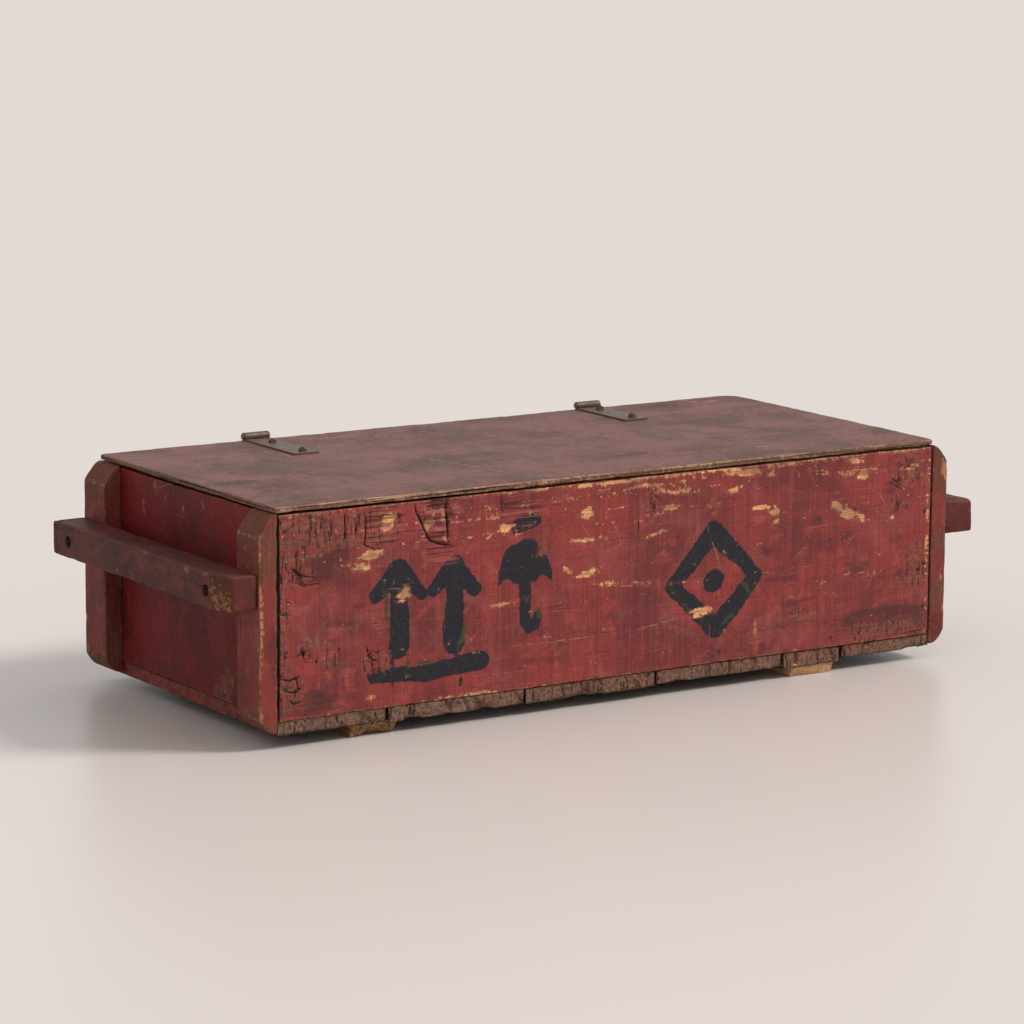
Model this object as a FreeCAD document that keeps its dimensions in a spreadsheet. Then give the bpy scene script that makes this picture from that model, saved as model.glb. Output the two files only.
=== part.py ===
import FreeCAD, Part
import os
import Sketcher

# A painted board crate with two bar handles and a lid on two strap hinges.
# Frame: origin on the ground at the middle of the crate, +X to the right along the length,
# +Y to the back where the hinges are, +Z up. Millimetres.

doc = FreeCAD.newDocument("Crate")
sheet = doc.addObject("Spreadsheet::Sheet", "Sizes")

SIZES = {
    # the box
    "outer_length": 1150.0,
    "outer_depth": 526.0,
    "wall_height": 292.8,
    "wall_thickness": 20.0,
    "end_thickness": 26.0,
    # the floor: full boards, one narrow board, and a cut board at each end
    "floor_thickness": 19.4,
    "floor_board_width": 229.8,
    "narrow_board_width": 108.8,
    "floor_board_gap": 1.0,
    "floor_shift": 4.8,
    # the runners under the floor
    "runner_height": 21.0,
    "left_runner_width": 73.0,
    "right_runner_width": 82.0,
    "left_runner_lap": 18.0,
    "right_runner_shift": 5.0,
    "runner_setback": 2.0,
    "runner_edge_round": 5.0,
    # the upright battens on the ends
    "batten_width": 64.0,
    "batten_thickness": 28.0,
    "batten_lift": 3.0,
    "batten_top_slope_width": 25.0,
    "batten_top_slope_height": 35.0,
    "batten_foot_slope_width": 14.0,
    "batten_foot_slope_height": 24.0,
    # the handle bars
    "handle_depth": 55.0,
    "handle_height": 50.0,
    "handle_setback": 4.0,
    "handle_corner_length": 41.0,
    "handle_corner_depth": 14.0,
    "handle_edge_round": 4.0,
    "left_handle_rise": 205.0,
    "right_handle_rise": 196.0,
    "handle_bolt_inset": 54.0,
    # the lid
    "lid_thickness": 8.5,
    "lid_gap": 0.6,
    "lid_overhang": 2.4,
    "lid_setback": 0.6,
    "lid_corner_radius": 8.0,
    "lid_top_round": 3.2,
    "lid_bottom_round": 2.0,
    # the hinges
    "strap_width": 42.0,
    "strap_thickness": 2.5,
    "left_hinge_place": -314.5,
    "right_hinge_place": 290.0,
    "left_strap_length": 155.0,
    "right_strap_length": 139.0,
    "strap_bolt_inset": 13.0,
    "strap_bolt_pitch": 90.0,
    "leaf_length": 85.0,
    "leaf_bolt_pitch": 40.0,
    "hinge_pin_radius": 3.2,
    "hinge_pin_clearance": 0.08,
    "hinge_pin_head_radius": 4.6,
    "hinge_pin_head_thickness": 1.4,
    "middle_knuckle_width": 14.0,
    "knuckle_gap": 0.4,
    "swing_clearance": 0.3,
    # the hinge bolts, their square nuts and the washers of the right hinge
    "bolt_radius": 2.5,
    "bolt_head_radius": 5.5,
    "bolt_head_thickness": 2.6,
    "bolt_end": 2.2,
    "nut_width": 8.5,
    "nut_height": 4.5,
    "washer_radius": 6.5,
    "washer_thickness": 1.2,
    "bolt_clearance": 0.25,
    "thread_clearance": 0.05,
    # the handle bolts, sunk in the bars, with washers and square nuts inside the box
    "handle_bolt_radius": 4.0,
    "handle_bolt_head_width": 11.0,
    "handle_bolt_head_thickness": 5.5,
    "handle_bolt_sink_radius": 8.2,
    "handle_bolt_sink_depth": 13.0,
    "handle_nut_width": 13.0,
    "handle_nut_height": 6.5,
    "handle_washer_radius": 11.0,
    "handle_washer_thickness": 1.6,
    "handle_bolt_end": 3.0,
    # the nails
    "nail_radius": 1.5,
    "nail_head_radius": 3.2,
    "nail_head_thickness": 1.2,
    "nail_sink": 0.3,
    "nail_point": 4.0,
    "nail_clearance": 0.05,
    "wall_nail_length": 50.0,
    "floor_nail_length": 48.0,
    "batten_nail_length": 44.0,
    "runner_nail_length": 34.0,
    "wall_nail_foot_inset": 44.6,
    "wall_nail_top_inset": 25.2,
    "batten_nail_inset": 44.0,
    "floor_nail_inset": 30.0,
    "end_nail_inset": 90.0,
    "runner_nail_inset": 70.0,
}

for row, (alias, number) in enumerate(SIZES.items(), start=1):
    sheet.set(f"A{row}", alias)
    sheet.set(f"B{row}", str(number))
    sheet.setAlias(f"B{row}", alias)
doc.recompute()


def size(alias):
    """The expression that names one size of the sheet."""
    if alias not in SIZES:
        raise KeyError(alias)
    return f"Sizes.{alias}"


def add(*terms):
    return "(" + " + ".join(terms) + ")"


def less(first, *rest):
    return "(" + " - ".join((first,) + rest) + ")"


def times(term, factor):
    return f"({term} * {factor})"


def value(expression):
    """The number that an expression gives with the sheet as it stands."""
    return float(sheet.evalExpression(str(expression)))


# Places that several pieces share, as expressions on the sheet.
LEFT = times(size("outer_length"), -0.5)
RIGHT = times(size("outer_length"), 0.5)
FRONT = times(size("outer_depth"), -0.5)
BACK = times(size("outer_depth"), 0.5)
FLOOR_UNDER = size("runner_height")
FLOOR_TOP = add(FLOOR_UNDER, size("floor_thickness"))
WALL_TOP = add(FLOOR_TOP, size("wall_height"))
LID_UNDER = add(WALL_TOP, size("lid_gap"))
LID_TOP = add(LID_UNDER, size("lid_thickness"))
EYE_RADIUS = add(size("hinge_pin_radius"), size("hinge_pin_clearance"), size("strap_thickness"))
AXIS_Y = less(add(BACK, size("strap_thickness")), EYE_RADIUS)
AXIS_Z = add(LID_TOP, EYE_RADIUS, size("swing_clearance"))
STRAP_TOP = add(LID_TOP, size("strap_thickness"))
LEAF_OUTSIDE = add(BACK, size("strap_thickness"))
NAIL_HOLE = add(size("nail_radius"), size("nail_clearance"))
NAIL_SEAT = add(size("nail_head_radius"), size("nail_clearance"))
NAIL_SEAT_DEPTH = add(size("nail_head_thickness"), size("nail_sink"))
BOLT_HOLE = add(size("bolt_radius"), size("bolt_clearance"))
HANDLE_BOLT_HOLE = add(size("handle_bolt_radius"), size("bolt_clearance"))
HOLE_SPARE = "1.0"

# Each axis: the origin plane across it, which way that plane faces, and the sketch's two axes.
PLANES = {
    "x": ("YZ_Plane", 1, (1, 2)),
    "y": ("XZ_Plane", -1, (0, 2)),
    "z": ("XY_Plane", 1, (0, 1)),
}
AXES = "xyz"
nodes = []


class Piece:
    """One PartDesign body, drawn in its own frame and placed by its low corner."""

    def __init__(self, label, place, is_node=True):
        self.body = doc.addObject("PartDesign::Body", label)
        self.body.Label = label
        self.place = place
        for name, where in zip(AXES, place):
            self.body.setExpression(f"Placement.Base.{name}", where)
        if is_node:
            nodes.append(self.body)

    def local(self, expression, axis_number):
        return less(expression, self.place[axis_number])

    def sketch(self, axis, start=None):
        """A sketch across an axis, at a place along that axis."""
        role, facing, _ = PLANES[axis]
        drawing = self.body.newObject("Sketcher::SketchObject", f"{self.body.Name}_sketch")
        plane = [part for part in self.body.Origin.OriginFeatures if part.Role == role][0]
        drawing.AttachmentSupport = (plane, "")
        drawing.MapMode = "FlatFace"
        if start is not None:
            depth = self.local(start, AXES.index(axis))
            drawing.setExpression("AttachmentOffset.Base.z", times(depth, facing))
        return drawing

    def at(self, axis, spot):
        """A spot's two coordinates in the sketch of an axis."""
        first, second = PLANES[axis][2]
        return self.local(spot[0], first), self.local(spot[1], second)

    def outline(self, drawing, axis, corners):
        """A closed polygon, each corner tied to the sheet."""
        spots = [self.at(axis, corner) for corner in corners]
        points = [FreeCAD.Vector(value(u), value(v), 0) for u, v in spots]
        count = len(points)
        first = drawing.GeometryCount
        for number, point in enumerate(points):
            drawing.addGeometry(Part.LineSegment(point, points[(number + 1) % count]), False)
        for number, (u, v) in enumerate(spots):
            line = first + number
            following = first + (number + 1) % count
            drawing.addConstraint(Sketcher.Constraint("Coincident", line, 2, following, 1))
            tie_point(drawing, line, 1, u, v)

    def circles(self, drawing, axis, spots, radius):
        for spot in spots:
            u, v = self.at(axis, spot)
            middle = FreeCAD.Vector(value(u), value(v), 0)
            ring = Part.Circle(middle, FreeCAD.Vector(0, 0, 1), value(radius))
            number = drawing.addGeometry(ring, False)
            tie_point(drawing, number, 3, u, v)
            tie = drawing.addConstraint(Sketcher.Constraint("Radius", number, value(radius)))
            drawing.setExpression(f"Constraints[{tie}]", radius)

    def pad(self, drawing, axis, length):
        """Fill a sketch along the axis, towards its high side."""
        solid = self.body.newObject("PartDesign::Pad", f"{self.body.Name}_pad")
        solid.Profile = (drawing, [""])
        solid.setExpression("Length", length)
        solid.Reversed = PLANES[axis][1] < 0
        self.body.Tip = solid
        doc.recompute()
        return solid

    def pocket(self, drawing, axis, length, way):
        """Cut a sketch along the axis: way is 1 towards its high side, -1 towards its low side."""
        before = self.body.Shape.Volume
        cut = self.body.newObject("PartDesign::Pocket", f"{self.body.Name}_pocket")
        cut.Profile = (drawing, [""])
        cut.setExpression("Length", length)
        cut.Reversed = PLANES[axis][1] == way
        self.body.Tip = cut
        doc.recompute()
        if self.body.Shape.Volume > before - 1e-3:
            raise RuntimeError(f"{self.body.Label}: a pocket cut nothing")
        return cut

    def bore(self, axis, spots, radius, start, length, way):
        drawing = self.sketch(axis, start)
        self.circles(drawing, axis, spots, radius)
        return self.pocket(drawing, axis, length, way)

    def nail_bore(self, axis, spots, start, length, way):
        """The holes of nails that start in this piece, with seats for their heads."""
        self.bore(axis, spots, NAIL_HOLE, start, length, way)
        self.bore(axis, spots, NAIL_SEAT, start, NAIL_SEAT_DEPTH, way)

    def edges(self, wanted):
        """Names of the edges that a test picks."""
        found = enumerate(self.body.Shape.Edges, start=1)
        return [f"Edge{number}" for number, edge in found if wanted(edge)]

    def round_edges(self, alias, wanted):
        """A fillet on the edges that a test picks."""
        names = self.edges(wanted)
        base = self.body.Tip
        rounding = self.body.newObject("PartDesign::Fillet", f"{self.body.Name}_fillet")
        rounding.Base = (base, names)
        rounding.setExpression("Radius", size(alias))
        self.body.Tip = rounding
        doc.recompute()


def tie_point(drawing, geometry, end, u, v):
    """Tie a sketch point's two coordinates to expressions."""
    for kind, place in (("DistanceX", u), ("DistanceY", v)):
        rule = Sketcher.Constraint(kind, -1, 1, geometry, end, value(place))
        tie = drawing.addConstraint(rule)
        drawing.setExpression(f"Constraints[{tie}]", place)


def board(label, low, spans):
    """A plain board, given by its low corner and its three sizes."""
    piece = Piece(label, low)
    drawing = piece.sketch("z")
    far = [add(low[number], spans[number]) for number in (0, 1)]
    corners = [(low[0], low[1]), (far[0], low[1]), (far[0], far[1]), (low[0], far[1])]
    piece.outline(drawing, "z", corners)
    piece.pad(drawing, "z", spans[2])
    return piece


def runs_along(edge, axis_number):
    """Whether a straight edge runs along one axis."""
    if edge.Curve.TypeId != "Part::GeomLine":
        return False
    direction = edge.Curve.Direction
    return abs(abs(direction[axis_number]) - 1.0) < 1e-6


# Nail rows of the walls, as shares of the height between the lowest and the highest nail.
LEFT_FRONT_ROW = (0.0, 0.21, 0.48, 1.0)
RIGHT_FRONT_ROW = (0.0, 0.3, 0.66)
BACK_ROW = (0.0, 0.33, 0.67, 1.0)
BATTEN_ROW = (0.1, 0.4, 0.85)
NAIL_LOW = add(FLOOR_TOP, size("wall_nail_foot_inset"))
NAIL_SPAN = less(WALL_TOP, size("wall_nail_top_inset"), NAIL_LOW)


def nail_height(share):
    return add(NAIL_LOW, times(NAIL_SPAN, share))


END_MIDDLE = {
    "left": add(LEFT, times(size("end_thickness"), 0.5)),
    "right": less(RIGHT, times(size("end_thickness"), 0.5)),
}
FRONT_ROWS = {"left": LEFT_FRONT_ROW, "right": RIGHT_FRONT_ROW}
END_LOW = {"left": LEFT, "right": less(RIGHT, size("end_thickness"))}
END_INSIDE = {"left": add(LEFT, size("end_thickness")), "right": less(RIGHT, size("end_thickness"))}
OUTWARD = {"left": -1, "right": 1}
SIDES = ("left", "right")
WALL_INSIDE = {"front": add(FRONT, size("wall_thickness")), "back": less(BACK, size("wall_thickness"))}
WALL_MIDDLE = {
    "front": add(FRONT, times(size("wall_thickness"), 0.5)),
    "back": less(BACK, times(size("wall_thickness"), 0.5)),
}
BATTEN_LOW = {"front": FRONT, "rear": less(BACK, size("batten_width"))}
BATTEN_NAIL_Y = {
    "front": add(FRONT, size("batten_nail_inset")),
    "rear": less(BACK, size("batten_nail_inset")),
}
HANDLE_BOLT_Y = (add(FRONT, size("handle_bolt_inset")), less(BACK, size("handle_bolt_inset")))
HANDLE_MIDDLE = {side: add(FLOOR_UNDER, size(f"{side}_handle_rise")) for side in SIDES}
HINGE_PLACE = {side: size(f"{side}_hinge_place") for side in SIDES}
STRAP_FRONT = {side: less(AXIS_Y, size(f"{side}_strap_length")) for side in SIDES}
LEAF_FOOT = less(AXIS_Z, size("leaf_length"))


def handle_bolt_spots(side):
    return [(y, HANDLE_MIDDLE[side]) for y in HANDLE_BOLT_Y]


def batten_nail_spots():
    return [(y, nail_height(share)) for y in BATTEN_NAIL_Y.values() for share in BATTEN_ROW]


def strap_bolt_spots(side):
    first = add(STRAP_FRONT[side], size("strap_bolt_inset"))
    return [(HINGE_PLACE[side], first), (HINGE_PLACE[side], add(first, size("strap_bolt_pitch")))]


def leaf_bolt_spots(side):
    first = add(LEAF_FOOT, size("strap_bolt_inset"))
    return [(HINGE_PLACE[side], first), (HINGE_PLACE[side], add(first, size("leaf_bolt_pitch")))]


# The floor boards, from left to right: the end boards take what the full boards leave.
MIDDLE_BOARDS = [size("floor_board_width")] * 3 + [size("narrow_board_width")]
GAP = size("floor_board_gap")


def floor_board_spans():
    """Left edge and width of each floor board, as expressions."""
    middle = add(*MIDDLE_BOARDS, times(GAP, len(MIDDLE_BOARDS) - 1))
    start = add(times(middle, -0.5), size("floor_shift"))
    spans = [(LEFT, less(start, GAP, LEFT))]
    for width in MIDDLE_BOARDS:
        spans.append((start, width))
        start = add(start, width, GAP)
    spans.append((start, less(RIGHT, start)))
    return spans


FLOOR_SPANS = floor_board_spans()
FIRST_JOINT = add(*FLOOR_SPANS[0])
NARROW_START, NARROW_WIDTH = FLOOR_SPANS[4]
RUNNER_MIDDLE = {
    "left": less(FIRST_JOINT, size("left_runner_lap")),
    "right": add(NARROW_START, times(NARROW_WIDTH, 0.5), size("right_runner_shift")),
}
RUNNER_BOARD = {"left": 1, "right": 5}
RUNNER_NAIL_Y = (add(FRONT, size("runner_nail_inset")), "0.0", less(BACK, size("runner_nail_inset")))
END_NAIL_Y = (add(FRONT, size("end_nail_inset")), "0.0", less(BACK, size("end_nail_inset")))


def floor_nail_spots(number):
    """Nails of one floor board, driven from below into the walls and the end panels."""
    start, width = FLOOR_SPANS[number - 1]
    spots = []
    near = add(start, size("floor_nail_inset"))
    far = less(add(start, width), size("floor_nail_inset"))
    for wall in ("front", "back"):
        spots += [(near, WALL_MIDDLE[wall]), (far, WALL_MIDDLE[wall])]
    return spots


def end_nail_spots(side):
    return [(END_MIDDLE[side], y) for y in END_NAIL_Y]


def runner_nail_spots(side):
    return [(RUNNER_MIDDLE[side], y) for y in RUNNER_NAIL_Y]


def make_walls():
    """The front and back panels, which cover the edges of the end panels."""
    panel = board("front_panel", (LEFT, FRONT, FLOOR_TOP), wall_spans())
    spots = [(END_MIDDLE[side], nail_height(share)) for side in SIDES for share in FRONT_ROWS[side]]
    panel.nail_bore("y", spots, FRONT, size("wall_nail_length"), 1)
    bore_wall_foot(panel, "front")

    panel = board("back_panel", (LEFT, WALL_INSIDE["back"], FLOOR_TOP), wall_spans())
    spots = [(END_MIDDLE[side], nail_height(share)) for side in SIDES for share in BACK_ROW]
    panel.nail_bore("y", spots, BACK, size("wall_nail_length"), -1)
    spots = leaf_bolt_spots("left") + leaf_bolt_spots("right")
    panel.bore("y", spots, BOLT_HOLE, WALL_INSIDE["back"], size("wall_thickness"), 1)
    bore_wall_foot(panel, "back")


def wall_spans():
    return (size("outer_length"), size("wall_thickness"), size("wall_height"))


def bore_wall_foot(panel, wall):
    """Floor nails stand in the bottom edge of a wall."""
    spots = [spot for number in range(1, 7) for spot in floor_nail_spots(number)]
    spots = [spot for spot in spots if spot[1] == WALL_MIDDLE[wall]]
    depth = add(size("floor_nail_length"), size("nail_sink"), HOLE_SPARE)
    panel.bore("z", spots, NAIL_HOLE, FLOOR_UNDER, depth, 1)


def make_end_panel(side):
    """An end panel between the walls, with holes for everything that goes through it."""
    depth = less(size("outer_depth"), times(size("wall_thickness"), 2))
    spans = (size("end_thickness"), depth, size("wall_height"))
    panel = board(f"{side}_end_panel", (END_LOW[side], WALL_INSIDE["front"], FLOOR_TOP), spans)
    nail_depth = add(size("wall_nail_length"), size("nail_sink"), HOLE_SPARE)
    spots = [(END_MIDDLE[side], nail_height(share)) for share in FRONT_ROWS[side]]
    panel.bore("y", spots, NAIL_HOLE, FRONT, nail_depth, 1)
    spots = [(END_MIDDLE[side], nail_height(share)) for share in BACK_ROW]
    panel.bore("y", spots, NAIL_HOLE, BACK, nail_depth, -1)
    floor_depth = add(size("floor_nail_length"), size("nail_sink"), HOLE_SPARE)
    panel.bore("z", end_nail_spots(side), NAIL_HOLE, FLOOR_UNDER, floor_depth, 1)
    panel.nail_bore("x", batten_nail_spots(), END_INSIDE[side], size("end_thickness"), OUTWARD[side])
    low = END_LOW[side]
    panel.bore("x", handle_bolt_spots(side), HANDLE_BOLT_HOLE, low, size("end_thickness"), 1)


def make_floor_board(number):
    start, width = FLOOR_SPANS[number - 1]
    spans = (width, size("outer_depth"), size("floor_thickness"))
    plank = board(f"bottom_board_{number}", (start, FRONT, FLOOR_UNDER), spans)
    spots = list(floor_nail_spots(number))
    if number == 1:
        spots += end_nail_spots("left")
    if number == 6:
        spots += end_nail_spots("right")
    plank.nail_bore("z", spots, FLOOR_UNDER, size("floor_thickness"), 1)
    for side in SIDES:
        if RUNNER_BOARD[side] == number:
            plank.nail_bore("z", runner_nail_spots(side), FLOOR_TOP, size("floor_thickness"), -1)


def make_runner(side):
    """A runner under the floor, with its long lower edges rounded."""
    width = size(f"{side}_runner_width")
    low = (less(RUNNER_MIDDLE[side], times(width, 0.5)), add(FRONT, size("runner_setback")), "0.0")
    depth = less(size("outer_depth"), times(size("runner_setback"), 2))
    runner = board(f"{side}_runner", low, (width, depth, size("runner_height")))
    runner.round_edges(
        "runner_edge_round",
        lambda edge: runs_along(edge, 1) and edge.CenterOfMass.z < 1e-6,
    )
    nail_depth = add(size("runner_nail_length"), size("nail_sink"), HOLE_SPARE)
    runner.bore("z", runner_nail_spots(side), NAIL_HOLE, FLOOR_TOP, nail_depth, -1)


def make_batten(side, row):
    """An upright on an end panel, with a long slope at its top and a short one at its foot."""
    inner = LEFT if side == "left" else RIGHT
    low_x = less(LEFT, size("batten_thickness")) if side == "left" else RIGHT
    foot = add(FLOOR_UNDER, size("batten_lift"))
    batten = Piece(f"{side}_{row}_batten", (low_x, BATTEN_LOW[row], foot))

    def out(distance):
        return less(inner, distance) if side == "left" else add(inner, distance)

    outer = out(size("batten_thickness"))
    foot_in = out(less(size("batten_thickness"), size("batten_foot_slope_width")))
    top_in = out(less(size("batten_thickness"), size("batten_top_slope_width")))
    corners = [
        (inner, foot),
        (foot_in, foot),
        (outer, add(foot, size("batten_foot_slope_height"))),
        (outer, less(WALL_TOP, size("batten_top_slope_height"))),
        (top_in, WALL_TOP),
        (inner, WALL_TOP),
    ]
    drawing = batten.sketch("y")
    batten.outline(drawing, "y", corners)
    batten.pad(drawing, "y", size("batten_width"))
    spots = [(BATTEN_NAIL_Y[row], nail_height(share)) for share in BATTEN_ROW]
    depth = add(size("batten_nail_length"), size("nail_sink"), HOLE_SPARE)
    batten.bore("x", spots, NAIL_HOLE, END_INSIDE[side], depth, OUTWARD[side])
    y = HANDLE_BOLT_Y[0] if row == "front" else HANDLE_BOLT_Y[1]
    batten.bore("x", [(y, HANDLE_MIDDLE[side])], HANDLE_BOLT_HOLE, low_x, size("batten_thickness"), 1)


def make_handle(side):
    """A bar across the two battens of an end. The left bar's front corner is cut off."""
    face = less(LEFT, size("batten_thickness")) if side == "left" else add(RIGHT, size("batten_thickness"))

    def out(distance):
        return less(face, distance) if side == "left" else add(face, distance)

    outer = out(size("handle_depth"))
    corner = out(less(size("handle_depth"), size("handle_corner_depth")))
    low_x = outer if side == "left" else face
    low_y = add(FRONT, size("handle_setback"))
    high_y = less(BACK, size("handle_setback"))
    low_z = less(HANDLE_MIDDLE[side], times(size("handle_height"), 0.5))
    bar = Piece(f"{side}_handle", (low_x, low_y, low_z))
    front_corner = [(outer, low_y)]
    if side == "left":
        front_corner = [(corner, low_y), (outer, add(low_y, size("handle_corner_length")))]
    drawing = bar.sketch("z")
    bar.outline(drawing, "z", [(face, low_y), *front_corner, (outer, high_y), (face, high_y)])
    bar.pad(drawing, "z", size("handle_height"))
    face_x = value(outer)
    bar.round_edges(
        "handle_edge_round",
        lambda edge: abs(edge.CenterOfMass.x - face_x) < 1e-6,
    )
    spots = handle_bolt_spots(side)
    bar.bore("x", spots, HANDLE_BOLT_HOLE, outer, size("handle_depth"), -OUTWARD[side])
    sink_radius = size("handle_bolt_sink_radius")
    bar.bore("x", spots, sink_radius, outer, size("handle_bolt_sink_depth"), -OUTWARD[side])


def make_lid():
    """The lid: one sheet with rounded corners and edges, bored for the strap bolts."""
    low = (less(LEFT, size("lid_overhang")), add(FRONT, size("lid_setback")), LID_UNDER)
    spans = (
        add(size("outer_length"), times(size("lid_overhang"), 2)),
        less(size("outer_depth"), times(size("lid_setback"), 2)),
        size("lid_thickness"),
    )
    lid = board("lid_panel", low, spans)
    top = value(LID_TOP)
    under = value(LID_UNDER)
    lid.round_edges("lid_corner_radius", lambda edge: runs_along(edge, 2))
    lid.round_edges("lid_top_round", lambda edge: lies_at_height(edge, top))
    lid.round_edges("lid_bottom_round", lambda edge: lies_at_height(edge, under))
    spots = strap_bolt_spots("left") + strap_bolt_spots("right")
    lid.bore("z", spots, BOLT_HOLE, LID_UNDER, size("lid_thickness"), 1)


def lies_at_height(edge, height):
    bounds = edge.BoundBox
    return abs(bounds.ZMin - height) < 1e-6 and abs(bounds.ZMax - height) < 1e-6


def hinge_low(side):
    return less(HINGE_PLACE[side], times(size("strap_width"), 0.5))


def middle_knuckle(side, spare):
    """The two ends of the middle knuckle along the pin, with room at each end."""
    half = add(times(size("middle_knuckle_width"), 0.5), spare)
    return less(HINGE_PLACE[side], half), add(HINGE_PLACE[side], half)


def eye_and_pin_hole(leaf):
    """The rolled eye of a hinge leaf, over the leaf's whole width."""
    middle = [(AXIS_Y, AXIS_Z)]
    drawing = leaf.sketch("x")
    leaf.circles(drawing, "x", middle, EYE_RADIUS)
    leaf.pad(drawing, "x", size("strap_width"))
    hole = add(size("hinge_pin_radius"), size("hinge_pin_clearance"))
    leaf.bore("x", middle, hole, leaf.place[0], size("strap_width"), 1)


def make_strap(side):
    """The lid's hinge strap, with two eyes and a gap between them for the back leaf's eye."""
    strap = Piece(f"{side}_hinge_strap", (hinge_low(side), STRAP_FRONT[side], LID_TOP))
    drawing = strap.sketch("x")
    front = STRAP_FRONT[side]
    corners = [(front, LID_TOP), (AXIS_Y, LID_TOP), (AXIS_Y, STRAP_TOP), (front, STRAP_TOP)]
    strap.outline(drawing, "x", corners)
    strap.pad(drawing, "x", size("strap_width"))
    eye_and_pin_hole(strap)
    low, high = middle_knuckle(side, size("knuckle_gap"))
    reach = add(EYE_RADIUS, size("swing_clearance"), size("swing_clearance"))
    near = less(AXIS_Y, reach)
    far = add(AXIS_Y, reach)
    drawing = strap.sketch("z", LID_TOP)
    strap.outline(drawing, "z", [(low, near), (high, near), (high, far), (low, far)])
    strap.pocket(drawing, "z", times(reach, 3), 1)
    strap.bore("z", strap_bolt_spots(side), BOLT_HOLE, LID_TOP, size("strap_thickness"), 1)


def make_back_leaf(side):
    """The hinge leaf on the back panel, with the middle eye."""
    leaf = Piece(f"{side}_hinge_back_leaf", (hinge_low(side), less(AXIS_Y, EYE_RADIUS), LEAF_FOOT))
    drawing = leaf.sketch("x")
    corners = [(BACK, LEAF_FOOT), (LEAF_OUTSIDE, LEAF_FOOT), (LEAF_OUTSIDE, AXIS_Z), (BACK, AXIS_Z)]
    leaf.outline(drawing, "x", corners)
    leaf.pad(drawing, "x", size("strap_width"))
    eye_and_pin_hole(leaf)
    low, high = middle_knuckle(side, "0.0")
    reach = add(EYE_RADIUS, size("swing_clearance"), size("swing_clearance"))
    bottom = less(AXIS_Z, reach)
    top = add(AXIS_Z, reach)
    ends = ((hinge_low(side), low), (high, add(hinge_low(side), size("strap_width"))))
    drawing = leaf.sketch("y", less(AXIS_Y, EYE_RADIUS))
    for start, end in ends:
        leaf.outline(drawing, "y", [(start, bottom), (end, bottom), (end, top), (start, top)])
    leaf.pocket(drawing, "y", times(reach, 3), 1)
    leaf.bore("y", leaf_bolt_spots(side), BOLT_HOLE, BACK, size("strap_thickness"), 1)


def turned(label, profile, is_node=False, place=("0.0", "0.0", "0.0")):
    """A turned piece about its own Z axis, from a half profile of (radius, height) corners."""
    piece = Piece(label, place, is_node)
    drawing = piece.sketch("y")
    corners = [(add(piece.place[0], radius), add(piece.place[2], height)) for radius, height in profile]
    piece.outline(drawing, "y", corners)
    solid = piece.body.newObject("PartDesign::Revolution", f"{label}_turn")
    solid.Profile = (drawing, [""])
    axis = [part for part in piece.body.Origin.OriginFeatures if part.Role == "Z_Axis"][0]
    solid.ReferenceAxis = (axis, [""])
    solid.Angle = 360.0
    piece.body.Tip = solid
    doc.recompute()
    return piece


def make_hinge_pin_pattern():
    """A hinge pin, its two ends hammered over, standing on its lower head."""
    length = add(size("strap_width"), times(size("knuckle_gap"), 2))
    head = size("hinge_pin_head_thickness")
    radius = size("hinge_pin_radius")
    top = add(length, times(head, 2))
    profile = [
        ("0.0", "0.0"),
        (size("hinge_pin_head_radius"), "0.0"),
        (size("hinge_pin_head_radius"), head),
        (radius, head),
        (radius, add(length, head)),
        (size("hinge_pin_head_radius"), add(length, head)),
        (size("hinge_pin_head_radius"), top),
        ("0.0", top),
    ]
    return turned("hinge_pin_pattern", profile)


def make_nail_pattern(label, length):
    """A nail that points up its own Z axis, its head's flat at zero."""
    profile = [
        ("0.0", "0.0"),
        (size("nail_head_radius"), "0.0"),
        (size("nail_head_radius"), size("nail_head_thickness")),
        (size("nail_radius"), size("nail_head_thickness")),
        (size("nail_radius"), less(length, size("nail_point"))),
        ("0.0", length),
    ]
    return turned(label, profile)


def make_bolt_pattern(label, grip, extra):
    """A low round-headed bolt that points up its own Z axis, its head's seat at zero."""
    head = size("bolt_head_thickness")
    radius = size("bolt_head_radius")
    crown = times(radius, 0.55)
    length = add(grip, extra, size("nut_height"), size("bolt_end"))
    profile = [
        ("0.0", times(head, -1)),
        (crown, times(head, -1)),
        (radius, times(head, -0.3)),
        (radius, "0.0"),
        (size("bolt_radius"), "0.0"),
        (size("bolt_radius"), length),
        ("0.0", length),
    ]
    return turned(label, profile)


def square_block(label, width, height, hole):
    """A square nut or bolt head centred on its own Z axis, standing on zero."""
    piece = Piece(label, ("0.0", "0.0", "0.0"), False)
    low = times(width, -0.5)
    high = times(width, 0.5)
    drawing = piece.sketch("z")
    piece.outline(drawing, "z", [(low, low), (high, low), (high, high), (low, high)])
    if hole is not None:
        piece.circles(drawing, "z", [("0.0", "0.0")], hole)
    piece.pad(drawing, "z", height)
    return piece


def ring(label, radius, height, hole):
    """A washer centred on its own Z axis, standing on zero."""
    piece = Piece(label, ("0.0", "0.0", "0.0"), False)
    drawing = piece.sketch("z")
    piece.circles(drawing, "z", [("0.0", "0.0")], radius)
    piece.circles(drawing, "z", [("0.0", "0.0")], hole)
    piece.pad(drawing, "z", height)
    return piece


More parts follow.
